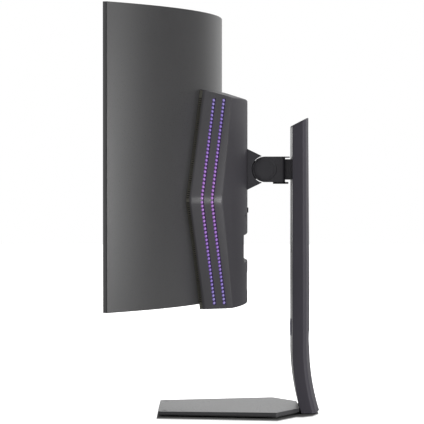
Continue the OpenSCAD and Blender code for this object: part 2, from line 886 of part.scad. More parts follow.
module column_top_cap() {
    color("#3f3d43") difference() {
        translate([0, 0, bend_z]) linear_extrude(far) polygon(column_points(0, column_y));
        above_slant(0);
        translate([-far / 2, column_y, column_h]) rotate([slant_a, 0, 0])
            translate([0, -far / 2, -2.2 - far]) cube(far);
        below_desk(column_h - far / 10);
    }
}

module column_spine() {
    color("silver") difference() {
        box(-60, 60, spine_y, spine_y + 2, bend_z + 0.2, 466);
        cable_line(cable_r + lining_t + 0.4, 90);
        both_sides() box(20, 44, spine_y - 1, spine_y + 3, 180, 300);
    }
}

module cable_grommet() {
    lip_y = column_y - lining_lip;
    color("#4b4664") intersection() {
        difference() {
            cable_line(cable_r + lining_t, 90);
            cable_line(cable_r, 92);
        }
        union() {
            along_column() polygon(column_points(0, column_y));
            box(-20, 20, lip_y, column_y + 1, 100, 180);
        }
    }
}

// ---- Base ----

// Outline of the base in plan, moved inwards by i
function base_points(i) = let(front_x = 105 - i, wide_x = 143 - i, rear_x = 67 - i,
        front_y = base_front + i, wide_y = 95, back_y = base_back - i)
    rounded([[-front_x, front_y], [front_x, front_y], [wide_x, wide_y], [rear_x, back_y],
        [-rear_x, back_y], [-wide_x, wide_y]], [7, 7, 5, 2, 2, 5]);

// Everything above the base's top, which slopes down to the front, moved down by off
module above_base(off) {
    translate([-far / 2, base_back, base_h]) rotate([atan(base_slope), 0, 0])
        translate([0, -far, -off]) cube([far, 1.5 * far, far]);
}

module foot_bracket() {
    color("silver") difference() {
        union() {
            intersection() {
                along_column() translate([-45, column_y + 13]) square([90, 3]);
                box(-50, 50, 100, 200, base_h, bend_z);
            }
            box(-45, 45, 138.5, 156, 8, 14);
        }
        cable_line(cable_r + lining_t + 0.4, 90);
        for (x = [-30, 0, 30]) translate([x, screw_y, 0]) cylinder(r = 2.55, h = 20);
    }
}

module base_cover() {
    top_t = 2;
    color("#9f9fa1") difference() {
        translate([0, 0, base_under]) linear_extrude(base_h) polygon(base_points(0));
        above_base(0);
        difference() {
            translate([0, 0, base_under - 1]) linear_extrude(base_h) polygon(base_points(2.5));
            above_base(top_t);
        }
        box(-tongue_x2 - 1, tongue_x2 + 1, 120, 160, 0, base_h - top_t);
        plug_spots() cylinder(r = 4.1, h = 20);
    }
}

module base_core() {
    color("#3a3a3c") difference() {
        union() {
            translate([0, 0, core_lo]) linear_extrude(base_h) polygon(base_points(3));
            box(-tongue_x2, tongue_x2, 110, tongue_y, core_lo, base_h - 2.1);
        }
        above_base(2.1);
        for (x = [-30, 0, 30]) translate([x, screw_y, 0]) {
            cylinder(r = 2.6, h = 20);
            cylinder(r = 5.3, h = 5.1);
        }
    }
}

module plug_spots() {
    both_sides() translate([86, plug_y, 0]) children();
}

module base_plugs() {
    top_z = base_h - base_slope * (base_back - plug_y);
    color("#1b1b1d") plug_spots() translate([0, 0, top_z - 2]) cylinder(r = 4, h = 2.2);
}

module base_feet() {
    foot_r = 9;
    color("#161616") {
        both_sides() {
            translate([90, -82, 0]) cylinder(r = foot_r, h = core_lo);
            translate([122, 88, 0]) cylinder(r = foot_r, h = core_lo);
            translate([36, 128, 0]) cylinder(r = foot_r, h = core_lo);
        }
        translate([0, -82, 0]) cylinder(r = foot_r, h = core_lo);
    }
}

module base_screws() {
    color("silver") for (x = [-30, 0, 30]) translate([x, screw_y, 0]) {
        translate([0, 0, 2.4]) cylinder(r = 5, h = 2.6);
        translate([0, 0, 4]) cylinder(r = 2.5, h = 9.8);
    }
}

display_panel();
bezel_frame();
panel_chassis();
back_cover();
rear_cover();
vent_strip_right();
vent_strip_left();
light_bar_right();
light_bar_left();
led_lenses_right();
led_lenses_left();
led_board_right();
led_board_left();
chassis_bracket();
vesa_plate();
vesa_inserts();
main_board();
led_driver_board();
power_board();
io_bracket();
video_sockets();
usb_sockets();
audio_sockets();
dc_inlet();
label_plate();
cover_screws();
joystick_board();
joystick_gimbal();
joystick_stem();
joystick_cap();
release_button();
release_latch();
tilt_bracket();
bracket_screws();
tilt_shaft();
arm_body();
tilt_bushes();
barrel_caps();
swivel_pin();
swivel_cap_top();
swivel_cap_bottom();
lift_carriage();
swivel_bush();
carriage_pads();
spring_reel_right();
spring_reel_left();
spring_tapes();
reel_axles();
guide_rails();
column_spine();
column_shell();
column_front();
column_top_cap();
cable_grommet();
foot_bracket();
base_cover();
base_core();
base_feet();
base_screws();
base_plugs();
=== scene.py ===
import math
import bmesh
import bpy
from mathutils import Matrix, Vector


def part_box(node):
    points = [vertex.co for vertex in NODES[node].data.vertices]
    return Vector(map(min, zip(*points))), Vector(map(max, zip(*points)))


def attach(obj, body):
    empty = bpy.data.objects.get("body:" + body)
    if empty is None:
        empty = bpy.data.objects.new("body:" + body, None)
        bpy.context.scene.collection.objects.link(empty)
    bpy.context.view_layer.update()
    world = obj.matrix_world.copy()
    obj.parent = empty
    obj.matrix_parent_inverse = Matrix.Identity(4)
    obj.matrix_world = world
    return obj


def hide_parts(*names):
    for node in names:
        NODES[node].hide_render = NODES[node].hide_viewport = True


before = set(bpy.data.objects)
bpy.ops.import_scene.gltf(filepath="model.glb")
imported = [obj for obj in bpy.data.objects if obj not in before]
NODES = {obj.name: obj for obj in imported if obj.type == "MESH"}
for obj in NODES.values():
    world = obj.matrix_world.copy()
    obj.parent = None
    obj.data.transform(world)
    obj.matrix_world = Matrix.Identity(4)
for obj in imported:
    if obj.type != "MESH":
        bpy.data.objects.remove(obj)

bpy.context.view_layer.update()

# Shapes are worked out in millimetres in the CAD frame, and turned into metres once
MM = 0.001


def span(node):
    """Lowest and highest corner of a CAD node, in millimetres."""
    low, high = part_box(node)
    return [v / MM for v in low], [v / MM for v in high]


# ---- Dimensions, as in the CAD ----
CURVE = 800.0                      # radius of the screen's face
SKIN, SHELL, EDGE = 808.0, 850.0, 817.0
WING = 37.9                        # half angle of the panel
RETURN_R = EDGE - 3.7
PANEL_LO, PANEL_HI = span("back_cover")[0][2], span("back_cover")[1][2]
HOUSE_LO, HOUSE_HI = span("light_bar_right")[0][2], span("light_bar_right")[1][2]
MID = (HOUSE_LO + HOUSE_HI) / 2
HALF = (HOUSE_HI - HOUSE_LO) / 2
TOP_DROP, TOP_RISE = 10.5, 1.5
TIP_X, END_X = 299.0, 240.0
BAR_T = 3.0
FRONT_LEAD = 2.2                   # how much further forward the bar's front edge is at the middle
FACE_DEG, RETURN_DEG = 123.0, 83.0
ROW_GAP, PITCH, FIRST = 17.9, 6.25, 3.5
LEDS_UP, LEDS_DOWN = 27, 28
LENS_R = 2.2
GROOVE_W, GROOVE_D = 5.2, 1.2
SLOT_PITCH, SLOT_H, SLOTS = 3.51, 1.6, 48
SOFT = 5.0                         # rounding of the V's point
TILT_Y, TILT_Z = 78.7, 398.9
BARREL_R, SEAT_R = 21.0, 22.3
SWIVEL_Y = 104.9
ARM_X, NECK_X = 32.0, 13.0
NECK_LO, NECK_HI = 381.8, 415.6
BAY_X, BAY_LO, BAY_HI = 110.0, 252.4, 292.1
RELEASE_Z = 331.7
COLUMN_X, COLUMN_Y, COLUMN_H = 65.0, 122.5, 470.3
SIDE_Y, CROWN_X, CROWN_Y, CROWN_H = 140.2, 58.0, 145.6, 7.0
COLUMN_WALL = 2.2
SLANT, BEND_Z, FOOT_Z = 27.4, 108.0, 1.2
BASE_H, BASE_FRONT_H, BASE_UNDER = 10.0, 8.3, 4.0
BASE_FRONT, BASE_BACK = -96.0, 133.4
# Half widths of the base at its front edge, across its wings and at its rear edge, and the wings' Y
BASE_FRONT_X, BASE_WING_X, BASE_BACK_X, BASE_WING_Y = 105, 143, 67, 95
# Where the two plugs stand in the base's top
PLUG_X, PLUG_Y = 86, -85.0
JOY_Y, JOY_LO = 20.0, 172.5


def on_arc(r, x):
    return -CURVE + math.sqrt(r * r - x * x)


TIP_Y, END_Y = on_arc(EDGE, TIP_X), on_arc(EDGE, END_X)
REAR_Y = CURVE * (1 - math.cos(math.radians(WING)))
FOOT_DROP, FOOT_BACK = BEND_Z - FOOT_Z, REAR_Y - CROWN_Y - CROWN_H
BEND_R = (FOOT_DROP ** 2 + FOOT_BACK ** 2) / (2 * FOOT_BACK) + CROWN_Y + CROWN_H - COLUMN_Y


def plan(deg):
    return Vector((math.cos(math.radians(deg)), math.sin(math.radians(deg)), 0))


LIMB = (Vector((END_X, END_Y, HALF)) - Vector((TIP_X, TIP_Y, 0))).normalized()
D_FACE, D_RETURN = plan(FACE_DEG), plan(RETURN_DEG)
FRONT_EDGE = (Vector((END_X, END_Y, HALF)) - Vector((TIP_X, TIP_Y, 0)) + D_FACE * FRONT_LEAD).normalized()
N_FACE, N_RETURN = D_FACE.cross(LIMB).normalized(), D_RETURN.cross(FRONT_EDGE).normalized()
P_FACE, P_RETURN = plan(FACE_DEG - 90), plan(RETURN_DEG - 90)   # the normals seen in plan
FACE_TILT, RETURN_TILT = N_FACE.dot(P_FACE), N_RETURN.dot(P_RETURN)
ACROSS = 1 / LIMB.cross(N_FACE).dot(D_FACE)                     # plan run per mm across a limb
MITRE = LIMB.dot(D_FACE) * ACROSS
RISE_ACROSS = LIMB.cross(N_FACE).z                              # rise per mm across a limb


def light_level(row, index):
    """Height above the housing's middle of one light of an upper limb. A lower limb mirrors it."""
    along = MITRE * row * ROW_GAP + FIRST + index * PITCH
    return along * LIMB.z + row * ROW_GAP * RISE_ACROSS


GROOVE_ENDS = {row: (-light_level(row, LEDS_DOWN - 1) - GROOVE_W / 2,
                     light_level(row, LEDS_UP - 1) + GROOVE_W / 2)
               for row in (1, 2)}


# ---- Mesh helpers ----

def raw_object(verts, faces, name="part"):
    mesh = bpy.data.meshes.new(name)
    mesh.from_pydata([tuple(v) for v in verts], [], faces)
    bm = bmesh.new()
    bm.from_mesh(mesh)
    bmesh.ops.recalc_face_normals(bm, faces=bm.faces)
    bm.to_mesh(mesh)
    bm.free()
    obj = bpy.data.objects.new(name, mesh)
    bpy.context.scene.collection.objects.link(obj)
    return obj


def apply_modifiers(obj):
    dg = bpy.context.evaluated_depsgraph_get()
    mesh = bpy.data.meshes.new_from_object(obj.evaluated_get(dg))
    obj.modifiers.clear()
    obj.data = mesh
    return obj


def combine(base, parts, operation="DIFFERENCE"):
    """Boolean of base with every part; the parts are used up."""
    for part in parts:
        m = base.modifiers.new("cut", "BOOLEAN")
        m.object, m.operation, m.solver = part, operation, "EXACT"
    apply_modifiers(base)
    for part in parts:
        bpy.data.objects.remove(part)
    return base


def join(*parts):
    return combine(parts[0], parts[1:], "UNION")


def cut(base, *parts):
    return combine(base, parts)


def rings(rows, closed=True, caps=True):
    """Solid through rows of points, each row a closed loop."""
    n = len(rows[0])
    verts = [p for row in rows for p in row]
    faces = [(i * n + j, i * n + (j + 1) % n, (i + 1) * n + (j + 1) % n, (i + 1) * n + j)
             for i in range(len(rows) - 1) for j in range(n if closed else n - 1)]
    if caps:
        faces += [tuple(range(n))[::-1], tuple(range((len(rows) - 1) * n, len(rows) * n))]
    return raw_object(verts, faces)


AXES = {"x": (0, 1, 2), "y": (1, 2, 0), "z": (2, 0, 1)}


def prism(axis, points, lo, hi):
    """Points in the plane across the axis, in cyclic order: (y, z), (z, x) or (x, y)."""
    k, a, b = AXES[axis]
    rows = []
    for level in (lo, hi):
        row = []
        for u, v in points:
            p = [0.0, 0.0, 0.0]
            p[k], p[a], p[b] = level, u, v
            row.append(p)
        rows.append(row)
    return rings(rows)


def block(x0, x1, y0, y1, z0, z1):
    return prism("z", [(x0, y0), (x1, y0), (x1, y1), (x0, y1)], z0, z1)


def circle(r, u=0.0, v=0.0, n=64):
    return [(u + r * math.cos(2 * math.pi * i / n), v + r * math.sin(2 * math.pi * i / n)) for i in range(n)]


def rod(axis, r, lo, hi, u=0.0, v=0.0, n=64):
    return prism(axis, circle(r, u, v, n), lo, hi)


def turned(profile, x, y, n=64):
    """Solid of revolution about a vertical line. The profile is (r, z) from one end to the other."""
    rows = [[(x + r * math.cos(t), y + r * math.sin(t), z)
             for t in (2 * math.pi * i / n for i in range(n))] for r, z in profile]
    return rings(rows)


def turn_to(obj, matrix):
    obj.data.transform(matrix)
    return obj


def sector(profile, a0, a1, step=1.0):
    """Polygon of (radius, z) swept about the screen's curve axis, from plan angle a0 to a1."""
    n = max(1, round(abs(a1 - a0) / step))
    rows = []
    for i in range(n + 1):
        a = math.radians(a0 + (a1 - a0) * i / n)
        rows.append([(r * math.sin(a), -CURVE + r * math.cos(a), z) for r, z in profile])
    return rings(rows)


def arc_wall(r0, r1, z0, z1, a, step=1.0):
    return sector([(r0, z0), (r1, z0), (r1, z1), (r0, z1)], -a, a, step)


def fillet(points, radii, n=5):
    """Closed outline with its corners rounded."""
    out = []
    for i, p in enumerate(points):
        p, a, b = Vector(p), Vector(points[i - 1]), Vector(points[(i + 1) % len(points)])
        r = radii[i] if isinstance(radii, (list, tuple)) else radii
        u, v = (a - p).normalized(), (b - p).normalized()
        angle = u.angle(v)
        if r < 1e-6 or angle > math.pi - 1e-3:
            out.append(tuple(p))
            continue
        reach = r / math.tan(angle / 2)
        centre = p + (u + v).normalized() * r / math.sin(angle / 2)
        s, e = p + u * reach - centre, p + v * reach - centre
        whole = s.angle_signed(e)
        for k in range(n + 1):
            t = -whole * k / n
            out.append((centre.x + s.x * math.cos(t) - s.y * math.sin(t),
                        centre.y + s.x * math.sin(t) + s.y * math.cos(t)))
    return out


def cells(us, vs, place, keep, thick):
    """Plate of grid cells, closed all round. place(u, v) is a point on its outer face, thick(u, v)
    the step to the inner one, and keep(i, j) says which cells are there."""
    verts, index, faces = [], {}, []

    def vert(i, j, side):
        key = (i, j, side)
        if key not in index:
            p = place(us[i], vs[j])
            if side:
                p = p + thick(us[i], vs[j])
            index[key] = len(verts)
            verts.append(p)
        return index[key]

    nu, nv = len(us) - 1, len(vs) - 1
    there = [[0 <= i < nu and 0 <= j < nv and keep(i, j) for j in range(nv)] for i in range(nu)]

    def filled(i, j):
        return 0 <= i < nu and 0 <= j < nv and there[i][j]

    for i in range(nu):
        for j in range(nv):
            if not there[i][j]:
                continue
            ring = [(i, j), (i + 1, j), (i + 1, j + 1), (i, j + 1)]
            faces.append([vert(*c, 0) for c in ring])
            faces.append([vert(*c, 1) for c in reversed(ring)])
            for k, (di, dj) in enumerate(((0, -1), (1, 0), (0, 1), (-1, 0))):
                if not filled(i + di, j + dj):
                    a, b = ring[k], ring[(k + 1) % 4]
                    faces.append([vert(*a, 1), vert(*b, 1), vert(*b, 0), vert(*a, 0)])
    return raw_object(verts, faces)


def steps(lo, hi, step, extra=()):
    n = max(1, round((hi - lo) / step))
    values = {round(lo + (hi - lo) * i / n, 6) for i in range(n + 1)}
    kept = [v for v in values
            if all(abs(v - e) > step * 0.3 for e in extra) or v in (round(lo, 6), round(hi, 6))]
    return sorted(set(kept) | {round(e, 6) for e in extra})


def mirrored(obj):
    """Copy of obj on the other side of the object's middle plane."""
    mesh = obj.data.copy()
    mesh.transform(Matrix.Diagonal((-1, 1, 1, 1)))
    mesh.flip_normals()
    other = bpy.data.objects.new("part", mesh)
    bpy.context.scene.collection.objects.link(other)
    return other


def clean(obj, planar=True):
    bm = bmesh.new()
    bm.from_mesh(obj.data)
    bmesh.ops.remove_doubles(bm, verts=bm.verts, dist=0.004)
    bmesh.ops.dissolve_degenerate(bm, edges=bm.edges, dist=0.004)
    if planar:
        bmesh.ops.dissolve_limit(bm, angle_limit=math.radians(0.05), verts=bm.verts, edges=bm.edges)
    bm.to_mesh(obj.data)
    bm.free()
    return obj


def finish_piece(obj, name, body, material, nodes=(), bevel=0.0, segments=3, sharp=32, tidy=True):
    """Names the piece, rounds its edges by bevel mm, and hands it to the frame."""
    if tidy:
        clean(obj)
    obj.name = obj.data.name = name
    obj.data.transform(Matrix.Scale(MM, 4))
    obj.data.materials.clear()
    for m in material if isinstance(material, (list, tuple)) else [material]:
        obj.data.materials.append(m)
    for p in obj.data.polygons:
        p.use_smooth = True
    obj.data.set_sharp_from_angle(angle=math.radians(sharp))
    if bevel:
        m = obj.modifiers.new("edges", "BEVEL")
        m.width, m.segments = bevel * MM, segments
        m.limit_method, m.angle_limit = "ANGLE", math.radians(sharp)
        m.harden_normals = True
        m.use_clamp_overlap = True
    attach(obj, body)
    if nodes:
        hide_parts(*nodes)
    return obj


# ---- Materials ----

def node_material(name):
    mat = bpy.data.materials.new(name)
    mat.use_nodes = True
    tree = mat.node_tree
    shader = next(n for n in tree.nodes if n.type == "BSDF_PRINCIPLED")
    coords = tree.nodes.new("ShaderNodeTexCoord")
    return mat, tree, shader, coords.outputs["Object"]


def noise(tree, vector, scale, detail=3.0, rough=0.55, stretch=None):
    if stretch:
        mapping = tree.nodes.new("ShaderNodeMapping")
        mapping.inputs["Scale"].default_value = stretch
        tree.links.new(vector, mapping.inputs["Vector"])
        vector = mapping.outputs["Vector"]
    tex = tree.nodes.new("ShaderNodeTexNoise")
    tex.inputs["Scale"].default_value = scale
    tex.inputs["Detail"].default_value = detail
    tex.inputs["Roughness"].default_value = rough
    tree.links.new(vector, tex.inputs["Vector"])
    return tex.outputs["Fac"]


def ramp(tree, value, stops):
    node = tree.nodes.new("ShaderNodeValToRGB")
    elements = node.color_ramp.elements
    while len(elements) < len(stops):
        elements.new(0.5)
    for e, (at, colour) in zip(elements, stops):
        e.position, e.color = at, (*colour[:3], 1)
    tree.links.new(value, node.inputs["Fac"])
    return node.outputs["Color"]


def spread(tree, value, lo, hi, low_in=0.3, high_in=0.7):
    node = tree.nodes.new("ShaderNodeMapRange")
    for key, v in (("From Min", low_in), ("From Max", high_in), ("To Min", lo), ("To Max", hi)):
        node.inputs[key].default_value = v
    tree.links.new(value, node.inputs["Value"])
    return node.outputs["Result"]


def bump(tree, shader, height, strength, distance, under=None):
    node = tree.nodes.new("ShaderNodeBump")
    node.inputs["Strength"].default_value = strength
    node.inputs["Distance"].default_value = distance
    tree.links.new(height, node.inputs["Height"])
    if under is not None:
        tree.links.new(under, node.inputs["Normal"])
    tree.links.new(node.outputs["Normal"], shader.inputs["Normal"])
    return node.outputs["Normal"]


def shade(rgb, k):
    return tuple(min(1.0, c * k) for c in rgb)


def moulded(name, rgb, rough, grain=900.0, depth=0.00006, vary=0.07, metallic=0.0, specular=0.5):
    """Moulded or painted surface: a fine grain, and slow changes of tone and gloss."""
    mat, tree, shader, at = node_material(name)
    shader.inputs["Metallic"].default_value = metallic
    shader.inputs["Specular IOR Level"].default_value = specular
    tone = noise(tree, at, 7.0, 4.0)
    tree.links.new(ramp(tree, tone, [(0.3, shade(rgb, 1 - vary)), (0.7, shade(rgb, 1 + vary))]),
                   shader.inputs["Base Color"])
    fine = noise(tree, at, grain, 2.0)
    tree.links.new(spread(tree, fine, rough - 0.05, rough + 0.05), shader.inputs["Roughness"])
    bump(tree, shader, fine, 0.35, depth)
    return mat


def brushed(name, rgb, rough, stretch=(1, 1, 0.04), scale=1400.0, metallic=1.0):
    mat, tree, shader, at = node_material(name)
    shader.inputs["Metallic"].default_value = metallic
    lines = noise(tree, at, scale, 3.0, 0.6, stretch)
    tree.links.new(ramp(tree, lines, [(0.3, shade(rgb, 0.86)), (0.7, shade(rgb, 1.08))]),
                   shader.inputs["Base Color"])
    tree.links.new(spread(tree, lines, rough - 0.06, rough + 0.08), shader.inputs["Roughness"])
    bump(tree, shader, lines, 0.25, 0.00003)
    return mat


def screen_glass(name):
    mat, tree, shader, at = node_material(name)
    smudge = noise(tree, at, 5.0, 5.0)
    tree.links.new(ramp(tree, smudge, [(0.35, (0.0045, 0.0045, 0.0055)), (0.65, (0.007, 0.007, 0.008))]),
                   shader.inputs["Base Color"])
    tree.links.new(spread(tree, smudge, 0.1, 0.2), shader.inputs["Roughness"])
    shader.inputs["Coat Weight"].default_value = 0.4
    shader.inputs["Coat Roughness"].default_value = 0.06
    return mat


def light_tone(tree, at, stops):
    """Colour by height on the light bar, from its middle to its ends."""
    apart = tree.nodes.new("ShaderNodeSeparateXYZ")
    tree.links.new(at, apart.inputs["Vector"])
    off = tree.nodes.new("ShaderNodeMath")
    off.operation = "SUBTRACT"
    off.inputs[1].default_value = MID * MM
    tree.links.new(apart.outputs["Z"], off.inputs[0])
    far = tree.nodes.new("ShaderNodeMath")
    far.operation = "ABSOLUTE"
    tree.links.new(off.outputs["Value"], far.inputs[0])
    return ramp(tree, spread(tree, far.outputs["Value"], 0, 1, 0, HALF * MM), stops)


def lens_material(name):
    mat, tree, shader, at = node_material(name)
    tones = [(0.0, (0.46, 0.16, 0.66)), (0.2, (0.41, 0.15, 0.66)), (0.45, (0.32, 0.13, 0.66)),
             (0.7, (0.22, 0.12, 0.62)), (0.85, (0.25, 0.18, 0.62)), (1.0, (0.31, 0.25, 0.62))]
    glow = light_tone(tree, at, tones)
    deep = light_tone(tree, at, [(t, shade(c, 0.45)) for t, c in tones])
    core = tree.nodes.new("ShaderNodeAttribute")
    core.attribute_name = "core"
    white = tree.nodes.new("ShaderNodeMix")
    white.data_type = "RGBA"
    tree.links.new(spread(tree, core.outputs["Fac"], 0.0, 0.55, 0.2, 1.0), white.inputs["Factor"])
    tree.links.new(glow, white.inputs[6])
    white.inputs[7].default_value = (0.93, 0.84, 0.98, 1)
    tree.links.new(white.outputs[2], shader.inputs["Emission Color"])
    shader.inputs["Emission Strength"].default_value = 0.48
    tree.links.new(deep, shader.inputs["Base Color"])
    frost = noise(tree, at, 2600.0, 2.0)
    tree.links.new(spread(tree, frost, 0.22, 0.34), shader.inputs["Roughness"])
    bump(tree, shader, frost, 0.2, 0.00004)
    return mat


def channel_material(name):
    """Smoked channel that the lenses sit in, with a painted glow of the lenses' light, strongest at the
    bar's middle.
    """
    mat, tree, shader, at = node_material(name)
    fine = noise(tree, at, 1500.0, 2.0)
    tree.links.new(ramp(tree, fine, [(0.3, (0.020, 0.013, 0.034)), (0.7, (0.034, 0.022, 0.056))]),
                   shader.inputs["Base Color"])
    # Painted glow: the channel's emission stands for the lenses' light falling into it.
    tree.links.new(light_tone(tree, at, [(0.0, (0.030, 0.006, 0.05)), (1.0, (0.012, 0.006, 0.04))]),
                   shader.inputs["Emission Color"])
    shader.inputs["Emission Strength"].default_value = 0.6
    tree.links.new(spread(tree, fine, 0.28, 0.4), shader.inputs["Roughness"])
    return mat


def board_material(name):
    mat, tree, shader, at = node_material(name)
    brick = tree.nodes.new("ShaderNodeTexBrick")
    brick.inputs["Scale"].default_value = 240.0
    brick.inputs["Mortar Size"].default_value = 0.012
    brick.inputs["Color1"].default_value = (0.012, 0.075, 0.035, 1)
    brick.inputs["Color2"].default_value = (0.016, 0.095, 0.045, 1)
    brick.inputs["Mortar"].default_value = (0.05, 0.2, 0.1, 1)
    tree.links.new(at, brick.inputs["Vector"])
    tree.links.new(brick.outputs["Color"], shader.inputs["Base Color"])
    fine = noise(tree, at, 500.0)
    tree.links.new(spread(tree, fine, 0.3, 0.45), shader.inputs["Roughness"])
    bump(tree, shader, brick.outputs["Fac"], 0.2, 0.00004)
    return mat


def rubber_material(name):
    mat, tree, shader, at = node_material(name)
    dots = tree.nodes.new("ShaderNodeTexVoronoi")
    dots.inputs["Scale"].default_value = 700.0
    tree.links.new(at, dots.inputs["Vector"])
    tone = noise(tree, at, 40.0)
    tree.links.new(ramp(tree, tone, [(0.3, (0.011, 0.011, 0.012)), (0.7, (0.019, 0.019, 0.02))]),
                   shader.inputs["Base Color"])
    tree.links.new(spread(tree, tone, 0.75, 0.9), shader.inputs["Roughness"])
    bump(tree, shader, dots.outputs["Distance"], 0.5, 0.0002)
    return mat


M = {
    "screen": screen_glass("screen_glass"),
    "bezel": moulded("bezel_plastic", (0.1, 0.1, 0.104), 0.45),
    "back": moulded("back_plastic", (0.045, 0.0445, 0.046), 0.32),
    "housing": moulded("housing_plastic", (0.041, 0.0385, 0.046), 0.5, specular=0.35),
    "vent": moulded("vent_plastic", (0.1, 0.096, 0.078), 0.5),
    "face": moulded("bar_plastic", (0.05, 0.0475, 0.054), 0.38, grain=1100.0, depth=0.00003),
    "channel": channel_material("light_channel"),
    "lens": lens_material("light_lens"),
    "board": board_material("circuit_board"),
    "steel": brushed("plated_steel", (0.55, 0.55, 0.56), 0.35),
    "aluminium": brushed("sheet_aluminium", (0.62, 0.62, 0.64), 0.4),
    "bright": brushed("ground_steel", (0.66, 0.66, 0.68), 0.25, (0.05, 1, 1)),
    "brass": brushed("turned_brass", (0.75, 0.58, 0.3), 0.3, (1, 0.05, 1)),
    "chrome": brushed("plated_shell", (0.7, 0.7, 0.72), 0.18),
    "black": moulded("black_plastic", (0.016, 0.016, 0.018), 0.42),
    "label": moulded("label_film", (0.12, 0.12, 0.13), 0.35, grain=300.0),
    "black_steel": moulded("blackened_steel", (0.02, 0.02, 0.022), 0.35, metallic=0.3),
    "hub": moulded("hub_coating", (0.047, 0.045, 0.054), 0.42),
    "neck": moulded("neck_coating", (0.058, 0.055, 0.066), 0.4),
    "slide": moulded("slide_plastic", (0.72, 0.72, 0.7), 0.5),
    "shell": moulded("column_coating", (0.066, 0.062, 0.075), 0.45, specular=0.12),
    # The column front's base colour is lighter than the column coating: painted sheen for the bright grazing
    # reflection on the front.
    "front": moulded("column_front_painted_sheen", (0.12, 0.12, 0.126), 0.3),
    "grommet": moulded("grommet_plastic", (0.085, 0.07, 0.16), 0.4),
    "base": moulded("base_coating", (0.048, 0.048, 0.051), 0.3),
    "base_steel": moulded("base_core_coating", (0.035, 0.035, 0.037), 0.5),
    "rubber": rubber_material("foot_rubber"),
}
SLOT_LOOK = {
    "display": "screen", "bezel": "bezel", "sheet_aluminium": "aluminium", "back_skin": "back",
    "housing": "housing", "vent": "vent", "bar_face": "face", "lens": "lens", "circuit_board": "board",
    "sheet_steel": "steel", "brass": "brass", "black_plastic": "black", "plated_shell": "chrome",
    "label": "label", "black_steel": "black_steel", "bright_steel": "bright", "hinge_plastic": "hub",
    "neck_metal": "neck", "slide_plastic": "slide", "column_shell": "shell", "column_front": "front",
    "grommet": "grommet", "base_top": "base", "base_steel": "base_steel", "foot_rubber": "rubber",
}
for node in NODES.values():
    for s in node.material_slots:
        look = SLOT_LOOK[s.material.name.split(".")[0]]
        s.link = "OBJECT"
        s.material = M[look]

# ---- Camera ----
FOCAL_PX, FRAME_PX, SENSOR = 2671.0, 424, 36.0
camera = bpy.data.objects.new("camera", bpy.data.cameras.new("camera"))
bpy.context.scene.collection.objects.link(camera)
camera.data.sensor_width = SENSOR
camera.data.lens = FOCAL_PX / FRAME_PX * SENSOR
camera.data.clip_start, camera.data.clip_end = 0.1, 60
camera.location = (4.410, -0.0085, 0.4088)
PITCH_DOWN = 1.045
camera.rotation_euler = (math.radians(90 - PITCH_DOWN), 0, math.radians(90))
bpy.context.scene.camera = camera


# ---- Panel ----

def arc_plate(r_out, r_in, angles, zs, keep):
    def place(a, z):
        return Vector((r_out * math.sin(math.radians(a)), -CURVE + r_out * math.cos(math.radians(a)), z))

    def thick(a, z):
        t = math.radians(a)
        return Vector((math.sin(t), math.cos(t), 0)) * (r_in - r_out)

    return cells(angles, zs, place, keep, thick)


def arc_deg(mm):
    return math.degrees(mm / CURVE)


CHIN, RIM = 9.0, 1.5

# Rear skin, with the window behind the housing
WINDOW_A, WINDOW_LO, WINDOW_HI = math.degrees(math.asin(150 / SKIN)), 240.0, 470.0
angles = steps(-WING, WING, 0.75, (-WINDOW_A, WINDOW_A))
heights = [PANEL_LO, WINDOW_LO, WINDOW_HI, PANEL_HI]
skin = arc_plate(SKIN, SKIN - 2.2, angles, heights,
                 lambda i, j: j != 1 or abs(angles[i] + angles[i + 1]) / 2 > WINDOW_A)
finish_piece(skin, "rear_skin", "head", M["back"], ["back_cover"], 0.7)

# Bezel frame
inner = WING - arc_deg(RIM)
bezel_a = steps(-WING, WING, 0.75, (-inner, inner))
bezel_z = [PANEL_LO, PANEL_LO + CHIN, PANEL_HI - RIM, PANEL_HI]
bezel = arc_plate(SKIN - 2.25, CURVE, bezel_a, bezel_z,
                  lambda i, j: j != 1 or abs(bezel_a[i] + bezel_a[i + 1]) / 2 > inner)
finish_piece(bezel, "bezel", "head", M["bezel"], ["bezel_frame"], 0.45)

# Screen
screen_a = WING - arc_deg(RIM + 0.2)
pane = arc_plate(CURVE + 3.1, CURVE + 0.5, steps(-screen_a, screen_a, 0.5),
                 [PANEL_LO + CHIN + 0.2, PANEL_HI - RIM - 0.2], lambda i, j: True)
finish_piece(pane, "screen", "head", M["screen"], ["display_panel"], 0.2, 2)


# ---- Rear housing ----

def softened(dz):
    """Distance from the V's point, never less than SOFT, so that the point is a short flat band."""
    return (dz ** 4 + SOFT ** 4) ** 0.25


def limb_share(dz):
    """How far along its limb a level is, from 0 at the point to 1 at the end."""
    return softened(dz) / HALF


def limb_line(dz):
    """The line in plan that both rows of lights keep their distance from, dz mm off the middle."""
    f = limb_share(dz)
    return Vector((TIP_X + (END_X - TIP_X) * f, TIP_Y + (END_Y - TIP_Y) * f, 0))


def front_corner(dz):
    """The light bar's front corner in plan."""
    return limb_line(dz) - D_FACE * FRONT_LEAD * (1 - limb_share(dz))


def radius(p):
    return math.hypot(p.x, p.y + CURVE)


def reach(p, d, r):
    """Distance from p along d, in plan, to the circle of radius r round the curve axis."""
    q = Vector((p.x, p.y + CURVE, 0))
    b = q.dot(d)
    root = math.sqrt(max(0.0, b * b - q.dot(q) + r * r))
    return -b + root


def inner_corner(dz, off_face, off_return):
    """Corner of the two planes moved inwards."""
    p = front_corner(dz)
    a, b = off_face / FACE_TILT, off_return / RETURN_TILT
    # p - a*P_FACE + s*D_FACE == p - b*P_RETURN + t*D_RETURN
    m = Matrix(((D_FACE.x, -D_RETURN.x), (D_FACE.y, -D_RETURN.y)))
    rhs = Vector((a * P_FACE.x - b * P_RETURN.x, a * P_FACE.y - b * P_RETURN.y))
    s, _t = m.inverted() @ rhs
    return p - P_FACE * a + D_FACE * s


